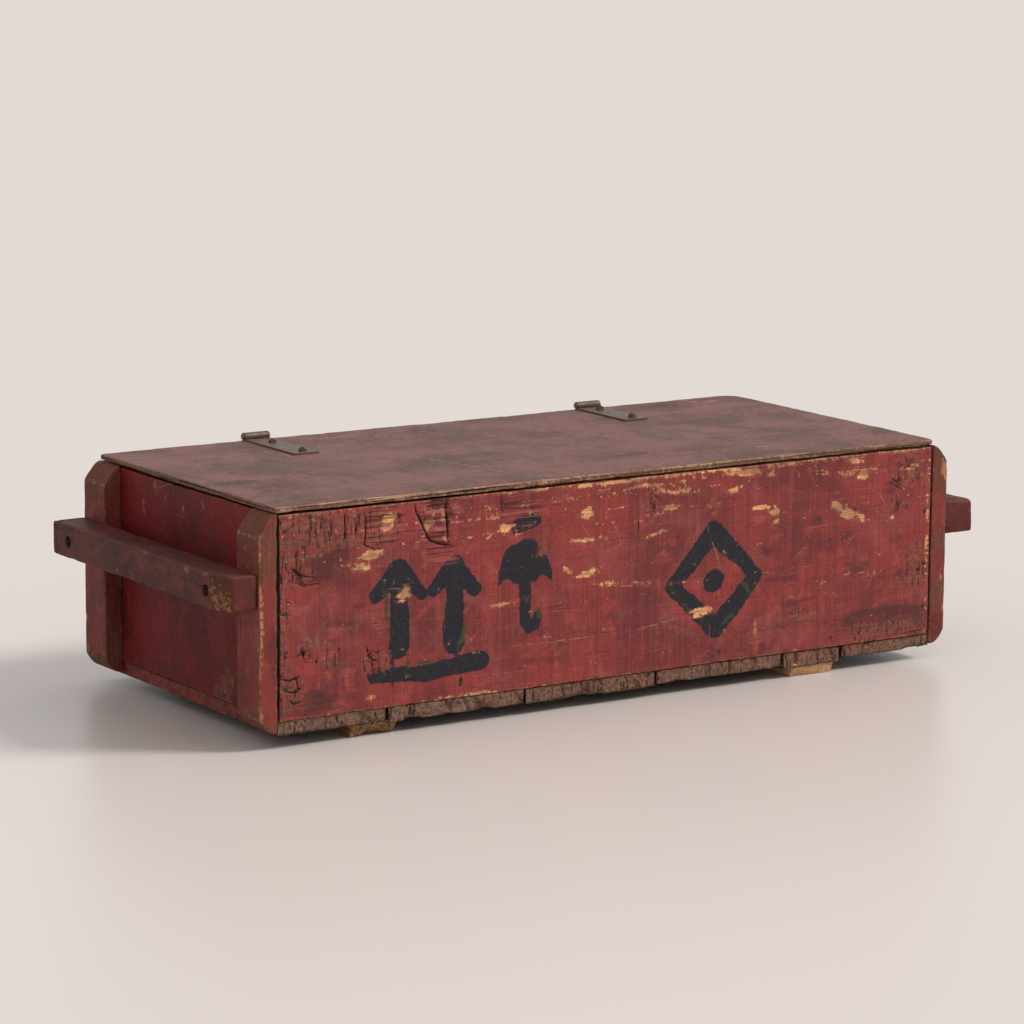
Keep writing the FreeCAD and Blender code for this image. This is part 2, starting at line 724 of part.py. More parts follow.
def make_handle_bolt_pattern():
    """A square-headed bolt that points up its own Z axis, its head's seat at zero."""
    head = size("handle_bolt_head_thickness")
    piece = Piece("handle_bolt_pattern", ("0.0", "0.0", "0.0"), False)
    width = size("handle_bolt_head_width")
    low = times(width, -0.5)
    high = times(width, 0.5)
    drawing = piece.sketch("z", times(head, -1))
    piece.outline(drawing, "z", [(low, low), (high, low), (high, high), (low, high)])
    piece.pad(drawing, "z", head)
    drawing = piece.sketch("z")
    piece.circles(drawing, "z", [("0.0", "0.0")], size("handle_bolt_radius"))
    grip = less(
        add(size("handle_depth"), size("batten_thickness"), size("end_thickness")),
        size("handle_bolt_sink_depth"),
    )
    beyond = add(size("handle_washer_thickness"), size("handle_nut_height"), size("handle_bolt_end"))
    piece.pad(drawing, "z", add(grip, beyond))
    return piece


# Turns that point a pattern's own Z axis along a row axis.
POINTING = {
    "+x": FreeCAD.Rotation(FreeCAD.Vector(0, 1, 0), 90),
    "-x": FreeCAD.Rotation(FreeCAD.Vector(0, 1, 0), -90),
    "+y": FreeCAD.Rotation(FreeCAD.Vector(1, 0, 0), -90),
    "-y": FreeCAD.Rotation(FreeCAD.Vector(1, 0, 0), 90),
    "+z": FreeCAD.Rotation(),
    "-z": FreeCAD.Rotation(FreeCAD.Vector(1, 0, 0), 180),
}


def group(label, placed):
    """One node of like pieces: each entry is a pattern, a place and a direction."""
    links = []
    for pattern, place, direction in placed:
        link = doc.addObject("App::Link", f"{label}_link")
        link.LinkedObject = pattern.body
        link.Placement = FreeCAD.Placement(FreeCAD.Vector(), POINTING[direction])
        for name, where in zip(AXES, place):
            link.setExpression(f"Placement.Base.{name}", where)
        links.append(link)
    compound = doc.addObject("Part::Compound", label)
    compound.Label = label
    compound.Links = links
    nodes.append(compound)


def make_nails():
    """Every nail, one node for each thing that the nails hold."""
    wall_nail = make_nail_pattern("wall_nail_pattern", size("wall_nail_length"))
    floor_nail = make_nail_pattern("floor_nail_pattern", size("floor_nail_length"))
    batten_nail = make_nail_pattern("batten_nail_pattern", size("batten_nail_length"))
    runner_nail = make_nail_pattern("runner_nail_pattern", size("runner_nail_length"))
    sink = size("nail_sink")

    placed = []
    for side in SIDES:
        for share in FRONT_ROWS[side]:
            placed.append((wall_nail, (END_MIDDLE[side], add(FRONT, sink), nail_height(share)), "+y"))
    group("front_panel_nails", placed)

    placed = []
    for side in SIDES:
        for share in BACK_ROW:
            placed.append((wall_nail, (END_MIDDLE[side], less(BACK, sink), nail_height(share)), "-y"))
    group("back_panel_nails", placed)

    placed = []
    for side in SIDES:
        direction = "-x" if side == "left" else "+x"
        x = less(END_INSIDE[side], sink) if side == "left" else add(END_INSIDE[side], sink)
        for y, z in batten_nail_spots():
            placed.append((batten_nail, (x, y, z), direction))
    group("batten_nails", placed)

    spots = [spot for number in range(1, 7) for spot in floor_nail_spots(number)]
    spots += end_nail_spots("left") + end_nail_spots("right")
    group("bottom_board_nails", [(floor_nail, (x, y, add(FLOOR_UNDER, sink)), "+z") for x, y in spots])

    spots = runner_nail_spots("left") + runner_nail_spots("right")
    group("runner_nails", [(runner_nail, (x, y, less(FLOOR_TOP, sink)), "-z") for x, y in spots])


def make_hinge_fasteners():
    """Bolts and square nuts of the straps and the back leaves, and the right strap's washers."""
    strap_bolt = make_bolt_pattern(
        "strap_bolt_pattern", add(size("lid_thickness"), size("strap_thickness")), "0.0"
    )
    washer_bolt = make_bolt_pattern(
        "washer_bolt_pattern",
        add(size("lid_thickness"), size("strap_thickness")),
        size("washer_thickness"),
    )
    leaf_bolt = make_bolt_pattern(
        "leaf_bolt_pattern", add(size("wall_thickness"), size("strap_thickness")), "0.0"
    )
    thread = add(size("bolt_radius"), size("thread_clearance"))
    nut = square_block("hinge_nut_pattern", size("nut_width"), size("nut_height"), thread)
    washer = ring("washer_pattern", size("washer_radius"), size("washer_thickness"), BOLT_HOLE)

    bolts = [(strap_bolt, (x, y, LID_UNDER), "+z") for x, y in strap_bolt_spots("left")]
    bolts += [(washer_bolt, (x, y, LID_UNDER), "+z") for x, y in strap_bolt_spots("right")]
    group("hinge_strap_bolts", bolts)

    on_washer = add(STRAP_TOP, size("washer_thickness"))
    nuts = [(nut, (x, y, STRAP_TOP), "+z") for x, y in strap_bolt_spots("left")]
    nuts += [(nut, (x, y, on_washer), "+z") for x, y in strap_bolt_spots("right")]
    group("hinge_strap_nuts", nuts)
    group(
        "hinge_strap_washers",
        [(washer, (x, y, STRAP_TOP), "+z") for x, y in strap_bolt_spots("right")],
    )

    spots = leaf_bolt_spots("left") + leaf_bolt_spots("right")
    group("hinge_leaf_bolts", [(leaf_bolt, (x, WALL_INSIDE["back"], z), "+y") for x, z in spots])
    group("hinge_leaf_nuts", [(nut, (x, LEAF_OUTSIDE, z), "+y") for x, z in spots])


def make_handle_fasteners():
    """Handle bolts sunk in the bars, with their washers and square nuts inside the box."""
    bolt = make_handle_bolt_pattern()
    thread = add(size("handle_bolt_radius"), size("thread_clearance"))
    nut = square_block("handle_nut_pattern", size("handle_nut_width"), size("handle_nut_height"), thread)
    washer = ring(
        "handle_washer_pattern",
        size("handle_washer_radius"),
        size("handle_washer_thickness"),
        HANDLE_BOLT_HOLE,
    )
    bolts = []
    nuts = []
    washers = []
    for side in SIDES:
        reach = less(
            add(size("batten_thickness"), size("handle_depth")), size("handle_bolt_sink_depth")
        )
        seat = less(LEFT, reach) if side == "left" else add(RIGHT, reach)
        direction = "+x" if side == "left" else "-x"
        inside = END_INSIDE[side]
        step = size("handle_washer_thickness")
        nut_seat = add(inside, step) if side == "left" else less(inside, step)
        for y, z in handle_bolt_spots(side):
            bolts.append((bolt, (seat, y, z), direction))
            washers.append((washer, (inside, y, z), direction))
            nuts.append((nut, (nut_seat, y, z), direction))
    group("handle_bolts", bolts)
    group("handle_washers", washers)
    group("handle_nuts", nuts)


def make_hinge_pins():
    pin = make_hinge_pin_pattern()
    for side in SIDES:
        start = less(hinge_low(side), size("knuckle_gap"), size("hinge_pin_head_thickness"))
        group(f"{side}_hinge_pin", [(pin, (start, AXIS_Y, AXIS_Z), "+x")])


def make_crate():
    make_walls()
    for side in SIDES:
        make_end_panel(side)
        make_runner(side)
        make_handle(side)
        make_strap(side)
        make_back_leaf(side)
        for row in ("front", "rear"):
            make_batten(side, row)
    for number in range(1, 7):
        make_floor_board(number)
    make_lid()
    make_hinge_pins()
    make_hinge_fasteners()
    make_handle_fasteners()
    make_nails()


def check_and_write():
    """Refuse a failed object or a bad shape, then write each node's file."""
    doc.recompute()
    for thing in doc.Objects:
        if "Invalid" in thing.State or "Error" in thing.State:
            raise RuntimeError(f"{thing.Label}: {thing.State}")
    for node in nodes:
        if node.Shape.isNull() or not node.Shape.isValid():
            raise RuntimeError(f"{node.Label}: bad shape")
        if not node.Shape.Solids:
            raise RuntimeError(f"{node.Label}: no solid")
    os.makedirs("parts", exist_ok=True)
    for node in nodes:
        node.Shape.exportStep(f"parts/{node.Label}.step")
    print(f"{len(nodes)} nodes written")


make_crate()
check_and_write()
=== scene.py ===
import math

import bpy
import numpy as np
from bpy.props import FloatProperty, FloatVectorProperty, PointerProperty
from mathutils import Matrix, Vector


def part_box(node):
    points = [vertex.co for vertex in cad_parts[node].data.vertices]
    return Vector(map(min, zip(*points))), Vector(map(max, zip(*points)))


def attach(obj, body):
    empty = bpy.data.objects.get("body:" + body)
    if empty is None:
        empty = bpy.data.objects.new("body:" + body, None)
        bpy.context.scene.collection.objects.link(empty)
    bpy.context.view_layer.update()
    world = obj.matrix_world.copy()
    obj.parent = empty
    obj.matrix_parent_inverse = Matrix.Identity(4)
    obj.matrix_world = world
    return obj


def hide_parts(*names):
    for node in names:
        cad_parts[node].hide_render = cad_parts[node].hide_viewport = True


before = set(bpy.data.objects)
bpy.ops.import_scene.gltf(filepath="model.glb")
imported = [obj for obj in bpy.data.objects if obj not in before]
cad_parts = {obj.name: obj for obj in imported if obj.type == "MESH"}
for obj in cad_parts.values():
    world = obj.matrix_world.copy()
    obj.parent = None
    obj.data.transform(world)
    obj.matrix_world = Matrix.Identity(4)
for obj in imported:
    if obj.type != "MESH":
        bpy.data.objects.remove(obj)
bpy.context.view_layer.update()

bl_info = {
    "name": "Painted board crate",
    "version": (1, 0, 0),
    "blender": (4, 5, 0),
    "location": "3D View > Sidebar > Crate",
    "description": "Builds the worn wood, paint and ironwork of a board crate around its CAD frame",
    "category": "Object",
}

MM = 0.001

# Fields are stored shifted by this much, in millimetres, so that a missing one reads as far outside.
FIELD_REACH = 12.0
# Distances of the grid lines from the edge of a board, in millimetres.
RIM = (0.0, 0.5, 1.2, 2.2, 3.6)
SHARP_ANGLE = math.radians(50.0)
# Further from a thin line than this, in millimetres, the line isn't drawn.
LINE_REACH = 9.0
# Points of nails closer than this to each other, in millimetres, belong to one nail.
NAIL_REACH = 7.0


# ---------------------------------------------------------------- sizes and colours

def colour(name, text, value):
    return FloatVectorProperty(name=name, description=text, default=value, size=3,
                               subtype="COLOR", min=0.0, max=1.0)


def length(name, text, value):
    return FloatProperty(name=name, description=text, default=value, unit="LENGTH", subtype="DISTANCE")


def angle(name, text, degrees):
    return FloatProperty(name=name, description=text, default=math.radians(degrees), unit="ROTATION",
                         subtype="ANGLE")


def number(name, text, value):
    return FloatProperty(name=name, description=text, default=value)


class CratePaint(bpy.types.PropertyGroup):
    """Colours of the paint, the wood and the iron."""
    red: colour("Red paint", "Main colour of the walls", (0.268, 0.040, 0.035))
    dark_red: colour("Dark red paint", "Older paint that shows in patches", (0.150, 0.030, 0.030))
    bright_red: colour("Bright red paint", "Fresh spots and rubbed grain", (0.38, 0.068, 0.050))
    bare_wood: colour("Bare wood", "Wood under fresh chips", (0.76, 0.385, 0.165))
    old_wood: colour("Old wood", "Weathered wood under old wear", (0.150, 0.070, 0.050))
    brush_black: colour("Brush black", "Brushed marks on the front", (0.017, 0.017, 0.023))
    brush_green: colour("Brush green", "First coat under the brushed marks", (0.030, 0.055, 0.020))
    lid_brown: colour("Lid brown", "Scuffed paint of the lid", (0.196, 0.097, 0.087))
    handle_brown: colour("Handle brown", "Hand-worn paint of the bars", (0.100, 0.020, 0.016))
    iron: colour("Iron", "Dark iron of the hinges and nails", (0.100, 0.066, 0.050))
    rust: colour("Rust", "Rust on the iron", (0.165, 0.095, 0.062))


class CrateWear(bpy.types.PropertyGroup):
    """Sizes of the wear, the grid and the brushed marks."""
    edge_round: length("Edge rounding", "Radius of the boards' worn edges", 0.0014)
    grid: length("Grid", "Pitch of the grid on the walls", 0.0030)
    warp: length("Warp", "How far the boards bow in and out", 0.0007)
    brush_width: length("Brush width", "Width of one brush stroke", 0.031)
    nail_dome: length("Nail dome", "How far a nail head's middle stands over its CAD head", 0.00018)


class CrateStage(bpy.types.PropertyGroup):
    """The floor, the lights and the camera."""
    floor: colour("Floor", "Colour of the floor", (0.66, 0.60, 0.565))
    camera_place: FloatVectorProperty(name="Camera place", description="Where the camera stands", size=3,
                                      default=(-3.3100, -5.0746, 1.3427), unit="LENGTH",
                                      subtype="TRANSLATION")
    camera_yaw: angle("Camera yaw", "Turn to the right from straight ahead", 32.96)
    camera_dip: angle("Camera dip", "Tilt below the horizon", 10.296)
    camera_roll: angle("Camera roll", "Turn about the line of sight", 0.403)
    camera_lens: number("Lens", "Focal length in millimetres on a 36 mm frame", 143.76)
    key_strength: number("Key light", "Strength of the soft light from the right", 2.5)
    sky_strength: number("Room light", "Strength of the light from all round", 0.70)


# ---------------------------------------------------------------- grids and fields, in millimetres

def wear_size(name):
    """One of the wear sizes."""
    return getattr(bpy.context.scene.crate_wear, name) / MM


def lattice_noise(points, cell, seed):
    """Smooth noise from -1 to 1 with its own cell size along each axis."""
    spot = points / np.asarray(cell, float) + seed * 7.31
    base = np.floor(spot).astype(np.int64)
    part = spot - base
    part = part * part * (3.0 - 2.0 * part)

    def corner(step):
        at = base + np.array(step)
        mixed = at[:, 0] * 374761393 + at[:, 1] * 668265263 + at[:, 2] * 1103515245 + seed * 974711
        mixed = (mixed ^ (mixed >> 13)) * 1274126177
        return ((mixed ^ (mixed >> 16)) & 0xFFFF) / 32767.5 - 1.0

    total = 0.0
    for i in (0, 1):
        for j in (0, 1):
            for k in (0, 1):
                share = (part[:, 0] if i else 1 - part[:, 0]) * (part[:, 1] if j else 1 - part[:, 1])
                total = total + corner((i, j, k)) * share * (part[:, 2] if k else 1 - part[:, 2])
    return total


def rough_noise(points, cell, seed, octaves=3):
    """Noise with finer and finer detail, from about -1 to 1."""
    total = 0.0
    for octave in range(octaves):
        share = 2 ** octave
        total = total + lattice_noise(points, np.asarray(cell, float) / share, seed + octave) / share
    return total / 1.6


def fade(value, low, high):
    """0 below low, 1 above high, smooth between; low may be the larger."""
    part = np.clip((value - low) / (high - low), 0.0, 1.0)
    return part * part * (3.0 - 2.0 * part)


def lines(low, high, pitch, dense=()):
    """Grid lines from low to high, closer at both ends and in the dense stretches."""
    marks = [low + step for step in RIM]
    place = marks[-1]
    last = high - RIM[-1]
    while True:
        step = min([pitch] + [fine for start, end, fine in dense if start <= place <= end])
        place += step
        if place > last - step * 0.5:
            break
        marks.append(place)
    return np.array(marks + [high - step for step in reversed(RIM)])


def shell(grid, flat=None):
    """The surface of a box as a grid. flat names one side, such as (1, 1) for the high side along Y,
    which is left as a single flat face. Gives points, quads and the flat face."""
    counts = [len(marks) for marks in grid]
    quads = []
    rim = []
    for axis in range(3):
        one, two = (axis + 1) % 3, (axis + 2) % 3
        first, second = np.meshgrid(np.arange(counts[one]), np.arange(counts[two]), indexing="ij")
        for end in (0, 1):
            index = [None] * 3
            index[axis] = np.full_like(first, end * (counts[axis] - 1))
            index[one], index[two] = first, second
            number = (index[0] * counts[1] + index[1]) * counts[2] + index[2]
            if flat == (axis, end):
                around = [number[:-1, 0], number[-1, :-1], number[:0:-1, -1], number[0, :0:-1]]
                rim = np.concatenate(around)
                rim = rim if end else rim[::-1]
                continue
            corners = [number[:-1, :-1], number[1:, :-1], number[1:, 1:], number[:-1, 1:]]
            block = np.stack(corners, -1).reshape(-1, 4)
            quads.append(block if end else block[:, ::-1])
    quads = np.concatenate(quads)
    used, place = np.unique(quads, return_inverse=True)
    i, rest = np.divmod(used, counts[1] * counts[2])
    j, k = np.divmod(rest, counts[2])
    points = np.stack([grid[0][i], grid[1][j], grid[2][k]], -1)
    face = np.searchsorted(used, rim).tolist() if len(rim) else None
    return points, place.reshape(-1, 4), face


class Board:
    """A box of wood whose surface is a grid that can be worn, bent and given paint fields."""

    def __init__(self, node, pitch, flat=None, dense=((), (), ()), round_radius=None):
        low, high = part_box(node)
        self.node = node
        self.low = np.array(low) / MM
        self.high = np.array(high) / MM
        pitches = [pitch] * 3 if np.isscalar(pitch) else pitch
        grid = [lines(self.low[a], self.high[a], pitches[a], dense[a]) for a in range(3)]
        self.base, self.quads, self.face = shell(grid, flat)
        inside = np.minimum(self.base - self.low, self.high - self.base)
        self.edge = np.sort(inside, axis=1)[:, 1]
        self.fields = {}
        radius = round_radius or wear_size("edge_round")
        worn = 0.55 + 0.6 * fade(lattice_noise(self.base, (22.0, 22.0, 22.0), 3), -0.2, 0.9)
        self.soften(radius * worn)

    def soften(self, radius):
        """Round every edge; the radius may differ from point to point."""
        radius = np.broadcast_to(radius, (len(self.base),))[:, None]
        core = np.clip(self.base, self.low + radius, self.high - radius)
        out = self.base - core
        size = np.linalg.norm(out, axis=1, keepdims=True)
        self.normal = out / size
        self.points = core + self.normal * np.abs(out).max(axis=1, keepdims=True)

    def wear(self, depth):
        """Push the surface in by a depth at each point."""
        self.points = self.points - self.normal * np.maximum(depth, 0.0)[:, None]

    def nibble(self, seed, depth=1.6, reach=6.0, cell=(14.0, 14.0, 14.0)):
        """Small bites along the edges."""
        bite = fade(rough_noise(self.base, cell, seed), 0.15, 0.95)
        self.wear(depth * bite * fade(self.edge, reach, 0.0))

    def bow(self, seed, axis, depth):
        """Bow the faces across an axis in a little, as old boards do."""
        wave = 0.5 + 0.5 * lattice_noise(self.base, (260.0, 260.0, 260.0), seed)
        self.wear(depth * wave * np.abs(self.normal[:, axis]) * fade(self.edge, 0.0, 25.0))

    def paint(self, **fields):
        self.fields.update(fields)

    def raise_field(self, name, values):
        """Bring a field up to some values where they are higher."""
        self.fields[name] = np.maximum(self.fields[name], values)

    def piece(self, name, materials, body, slot, painted_side=None):
        """Make the Blender object. The flat side takes the second material, and the side that faces
        along painted_side (an axis and a way) takes the third."""
        mesh = bpy.data.meshes.new(name)
        faces = self.quads.tolist() + ([self.face] if self.face else [])
        mesh.from_pydata((self.points * MM).tolist(), [], faces)
        for material in materials:
            mesh.materials.append(material)
        if self.face and len(materials) > 1:
            mesh.polygons[len(faces) - 1].material_index = 1
        if painted_side:
            axis, way = painted_side
            for polygon in mesh.polygons:
                if polygon.normal[axis] * way > 0.7:
                    polygon.material_index = 2
        blank = np.zeros(len(self.points))
        self.fields.setdefault("edge", self.edge)
        for group, names in FIELD_GROUPS.items():
            if not any(field in self.fields for field in names):
                continue
            columns = [self.fields.get(field, blank) for field in names]
            store = mesh.attributes.new(group, "FLOAT_VECTOR", "POINT")
            values = np.stack(np.broadcast_arrays(*columns), -1).astype(np.float32)
            store.data.foreach_set("vector", values.ravel())
        place(mesh, name, body, slot, self.node)


FIELD_GROUPS = {
    "worn": ("chip", "raw", "edge"),
    "drawn": ("black", "green", "ridge"),
    "crack": ("crack", "crack_width", "stain"),
    "scratch": ("scratch", "scratch_width", "flake"),
}


def place(mesh, name, body, slot, node):
    """Link a finished mesh, smooth it, and hand it to its body in place of its CAD node."""
    mesh.validate()
    mesh.shade_smooth()
    mesh.set_sharp_from_angle(angle=SHARP_ANGLE)
    piece = bpy.data.objects.new(name, mesh)
    bpy.context.scene.collection.objects.link(piece)
    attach(piece, body)
    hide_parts(node)


def blobs(u, v, shapes, ragged=0.0):
    """Signed distance inside a set of ellipses (u, v, half length, half height, tilt in degrees)."""
    best = np.full(len(u), -FIELD_REACH)
    for middle_u, middle_v, long, tall, tilt in shapes:
        turn = math.radians(tilt)
        along = (u - middle_u) * math.cos(turn) + (v - middle_v) * math.sin(turn)
        across = (v - middle_v) * math.cos(turn) - (u - middle_u) * math.sin(turn)
        reach = np.sqrt((along / long) ** 2 + (across / tall) ** 2)
        best = np.maximum(best, (1.0 - reach) * min(long, tall))
    return best + ragged


def stored(field):
    """A signed distance as it is stored on the mesh."""
    return np.clip(field, -FIELD_REACH, FIELD_REACH) + FIELD_REACH


def strokes(u, v, paths):
    """Signed distance inside brush strokes: (half width at start, at end, points of the path)."""
    best = np.full(len(u), -1e3)
    for first, last, path in paths:
        count = len(path) - 1
        for number, ((u0, v0), (u1, v1)) in enumerate(zip(path[:-1], path[1:])):
            du, dv = u1 - u0, v1 - v0
            part = np.clip(((u - u0) * du + (v - v0) * dv) / (du * du + dv * dv), 0.0, 1.0)
            half = first + (last - first) * (number + part) / count
            best = np.maximum(best, half - np.hypot(u - u0 - part * du, v - v0 - part * dv))
    return best


def line_fields(u, v, rows):
    """Signed distance to the nearest of some thin lines, and that line's half width there. A row is a
    half width and then the places along the line, two numbers each."""
    nearest = np.full(len(u), 1e3)
    signed = np.full(len(u), FIELD_REACH)
    width = np.full(len(u), -1.0)
    for half, *row in rows:
        path = list(zip(row[::2], row[1::2]))
        steps = [math.hypot(b[0] - a[0], b[1] - a[1]) for a, b in zip(path[:-1], path[1:])]
        total = sum(steps)
        gone = 0.0
        for (u0, v0), (u1, v1), step in zip(path[:-1], path[1:], steps):
            du, dv = (u1 - u0) / step, (v1 - v0) / step
            part = np.clip((u - u0) * du + (v - v0) * dv, 0.0, step)
            away = np.hypot(u - u0 - part * du, v - v0 - part * dv)
            side = np.where((u - u0) * dv - (v - v0) * du < 0, -1.0, 1.0)
            share = (gone + part) / total
            taper = half * np.sqrt(np.clip(4.2 * share * (1.0 - share), 0.0, 1.0)) - 0.25
            closer = away < nearest
            nearest = np.where(closer, away, nearest)
            signed = np.where(closer, side * away, signed)
            width = np.where(closer, taper, width)
            gone += step
    return np.clip(signed, -FIELD_REACH, FIELD_REACH), np.where(nearest > LINE_REACH, -1.0, width)


# ---------------------------------------------------------------- shader nodes

class Signal:
    """An output socket; sums and products of signals add Math nodes to its tree."""

    def __init__(self, nodes, socket):
        self.nodes = nodes
        self.socket = socket

    def __add__(self, other):
        return self.nodes.math("ADD", self, other)

    def __radd__(self, other):
        return self.nodes.math("ADD", other, self)

    def __sub__(self, other):
        return self.nodes.math("SUBTRACT", self, other)

    def __rsub__(self, other):
        return self.nodes.math("SUBTRACT", other, self)

    def __mul__(self, other):
        return self.nodes.math("MULTIPLY", self, other)

    def step(self, low, high, to_low=0.0, to_high=1.0):
        """A smooth step from low to high; low may be the larger."""
        return self.nodes.add("MapRange", {0: self, 1: low, 2: high, 3: to_low, 4: to_high},
                              interpolation_type="SMOOTHSTEP")


class Nodes:
    """A node tree with short calls that give back signals."""

    def __init__(self, tree):
        self.tree = tree

    def feed(self, node, inputs):
        """Link or set a node's inputs; a colour needs only its three numbers."""
        for key, value in inputs.items():
            socket = node.inputs[key]
            if isinstance(value, Signal):
                self.tree.links.new(value.socket, socket)
            else:
                socket.default_value = (*value, 1.0) if socket.type == "RGBA" else value

    def add_all(self, kind, inputs, **settings):
        """Add a node and give all its outputs."""
        node = self.tree.nodes.new("ShaderNode" + kind)
        for key, value in settings.items():
            setattr(node, key, value)
        self.feed(node, inputs)
        return [Signal(self, socket) for socket in node.outputs]

    def add(self, kind, inputs, out=0, **settings):
        return self.add_all(kind, inputs, **settings)[out]

    def group(self, name, inputs):
        return self.add_all("Group", inputs, node_tree=bpy.data.node_groups[name])

    def field(self, name):
        """The three numbers of one stored field group."""
        return self.add_all("SeparateXYZ", {0: self.add("Attribute", {}, 1, attribute_name=name)})

    def place(self):
        """Where a point is on its piece, in metres."""
        return self.add("TexCoord", {}, 3)

    def math(self, operation, *values):
        return self.add("Math", dict(enumerate(values)), operation=operation)

    def most(self, a, b):
        return self.math("MAXIMUM", a, b)

    def stretch(self, vector, factors):
        return self.add("VectorMath", {0: vector, 1: factors}, operation="MULTIPLY")

    def shift(self, vector, other):
        return self.add("VectorMath", {0: vector, 1: other}, operation="ADD")

    def noise(self, vector, scale, detail, roughness, distortion=0.0):
        return self.add("TexNoise", {"Vector": vector, "Scale": scale, "Detail": detail,
                                     "Roughness": roughness, "Distortion": distortion})

    def mix(self, factor, a, b):
        return self.add("Mix", {0: factor, 6: a, 7: b}, 2, data_type="RGBA")

    def layers(self, base, coats):
        """Put coats over a colour, each with its amount."""
        for amount, coat in coats:
            base = self.mix(amount, base, coat)
        return base

    def thin_line(self, place, distance, width, scale, detail, sway, soft):
        """Where stored lines are: their signed distance sways, and their edge is soft."""
        wander = (self.noise(place, scale, detail, 0.6) - 0.5) * sway
        return (width - self.math("ABSOLUTE", distance + wander)).step(-0.3, soft)

    def bump(self, height, strength, distance):
        return self.add("Bump", {"Height": height, "Strength": strength, "Distance": distance})


def new_group(name, inputs, outputs):
    """A shader node group with named sockets, {name: (kind, default)} and {name: kind}: gives its
    nodes, its inputs as signals and its output node."""
    tree = bpy.data.node_groups.new(name, "ShaderNodeTree")
    for key, (kind, default) in inputs.items():
        socket = tree.interface.new_socket(key, in_out="INPUT", socket_type="NodeSocket" + kind)
        if default is not None:
            socket.default_value = default
    for key, kind in outputs.items():
        tree.interface.new_socket(key, in_out="OUTPUT", socket_type="NodeSocket" + kind)
    n = Nodes(tree)
    source = tree.nodes.new("NodeGroupInput").outputs
    return n, {key: Signal(n, source[key]) for key in inputs}, tree.nodes.new("NodeGroupOutput")


# Colours that every old paint shares: the pale bloom of worn paint, which also colours the painted
# highlights on torn ridges, and the shade of ground-in dirt.
BLOOM = (0.32, 0.15, 0.15)
SHADE = (0.045, 0.022, 0.021)
# Chipped wood that has gone grey.
WEATHERED = (0.40, 0.26, 0.175)
GRAIN_SCALES = ("Vector", (6.0, 260.0, 260.0))


def grain_group():
    """Wood grain along one direction: fine fibres, broad bands and pores."""
    n, given, sink = new_group("wood_grain", {"Place": ("Vector", None), "Along": GRAIN_SCALES},
                               {"Fibre": "Float", "Band": "Float", "Pore": "Float"})
    place = given["Place"]
    drift = n.add("TexNoise", {"Vector": place, "Scale": 5.0, "Detail": 2.0}, 1)
    along = n.stretch(n.shift(place, n.stretch(drift, (0.012, 0.012, 0.012))), given["Along"])
    n.feed(sink, {"Fibre": n.noise(along, 1.0, 4.0, 0.62), "Band": n.noise(along, 0.16, 2.0, 0.5),
                  "Pore": n.noise(along, 2.6, 1.0, 0.5).step(0.60, 0.70)})


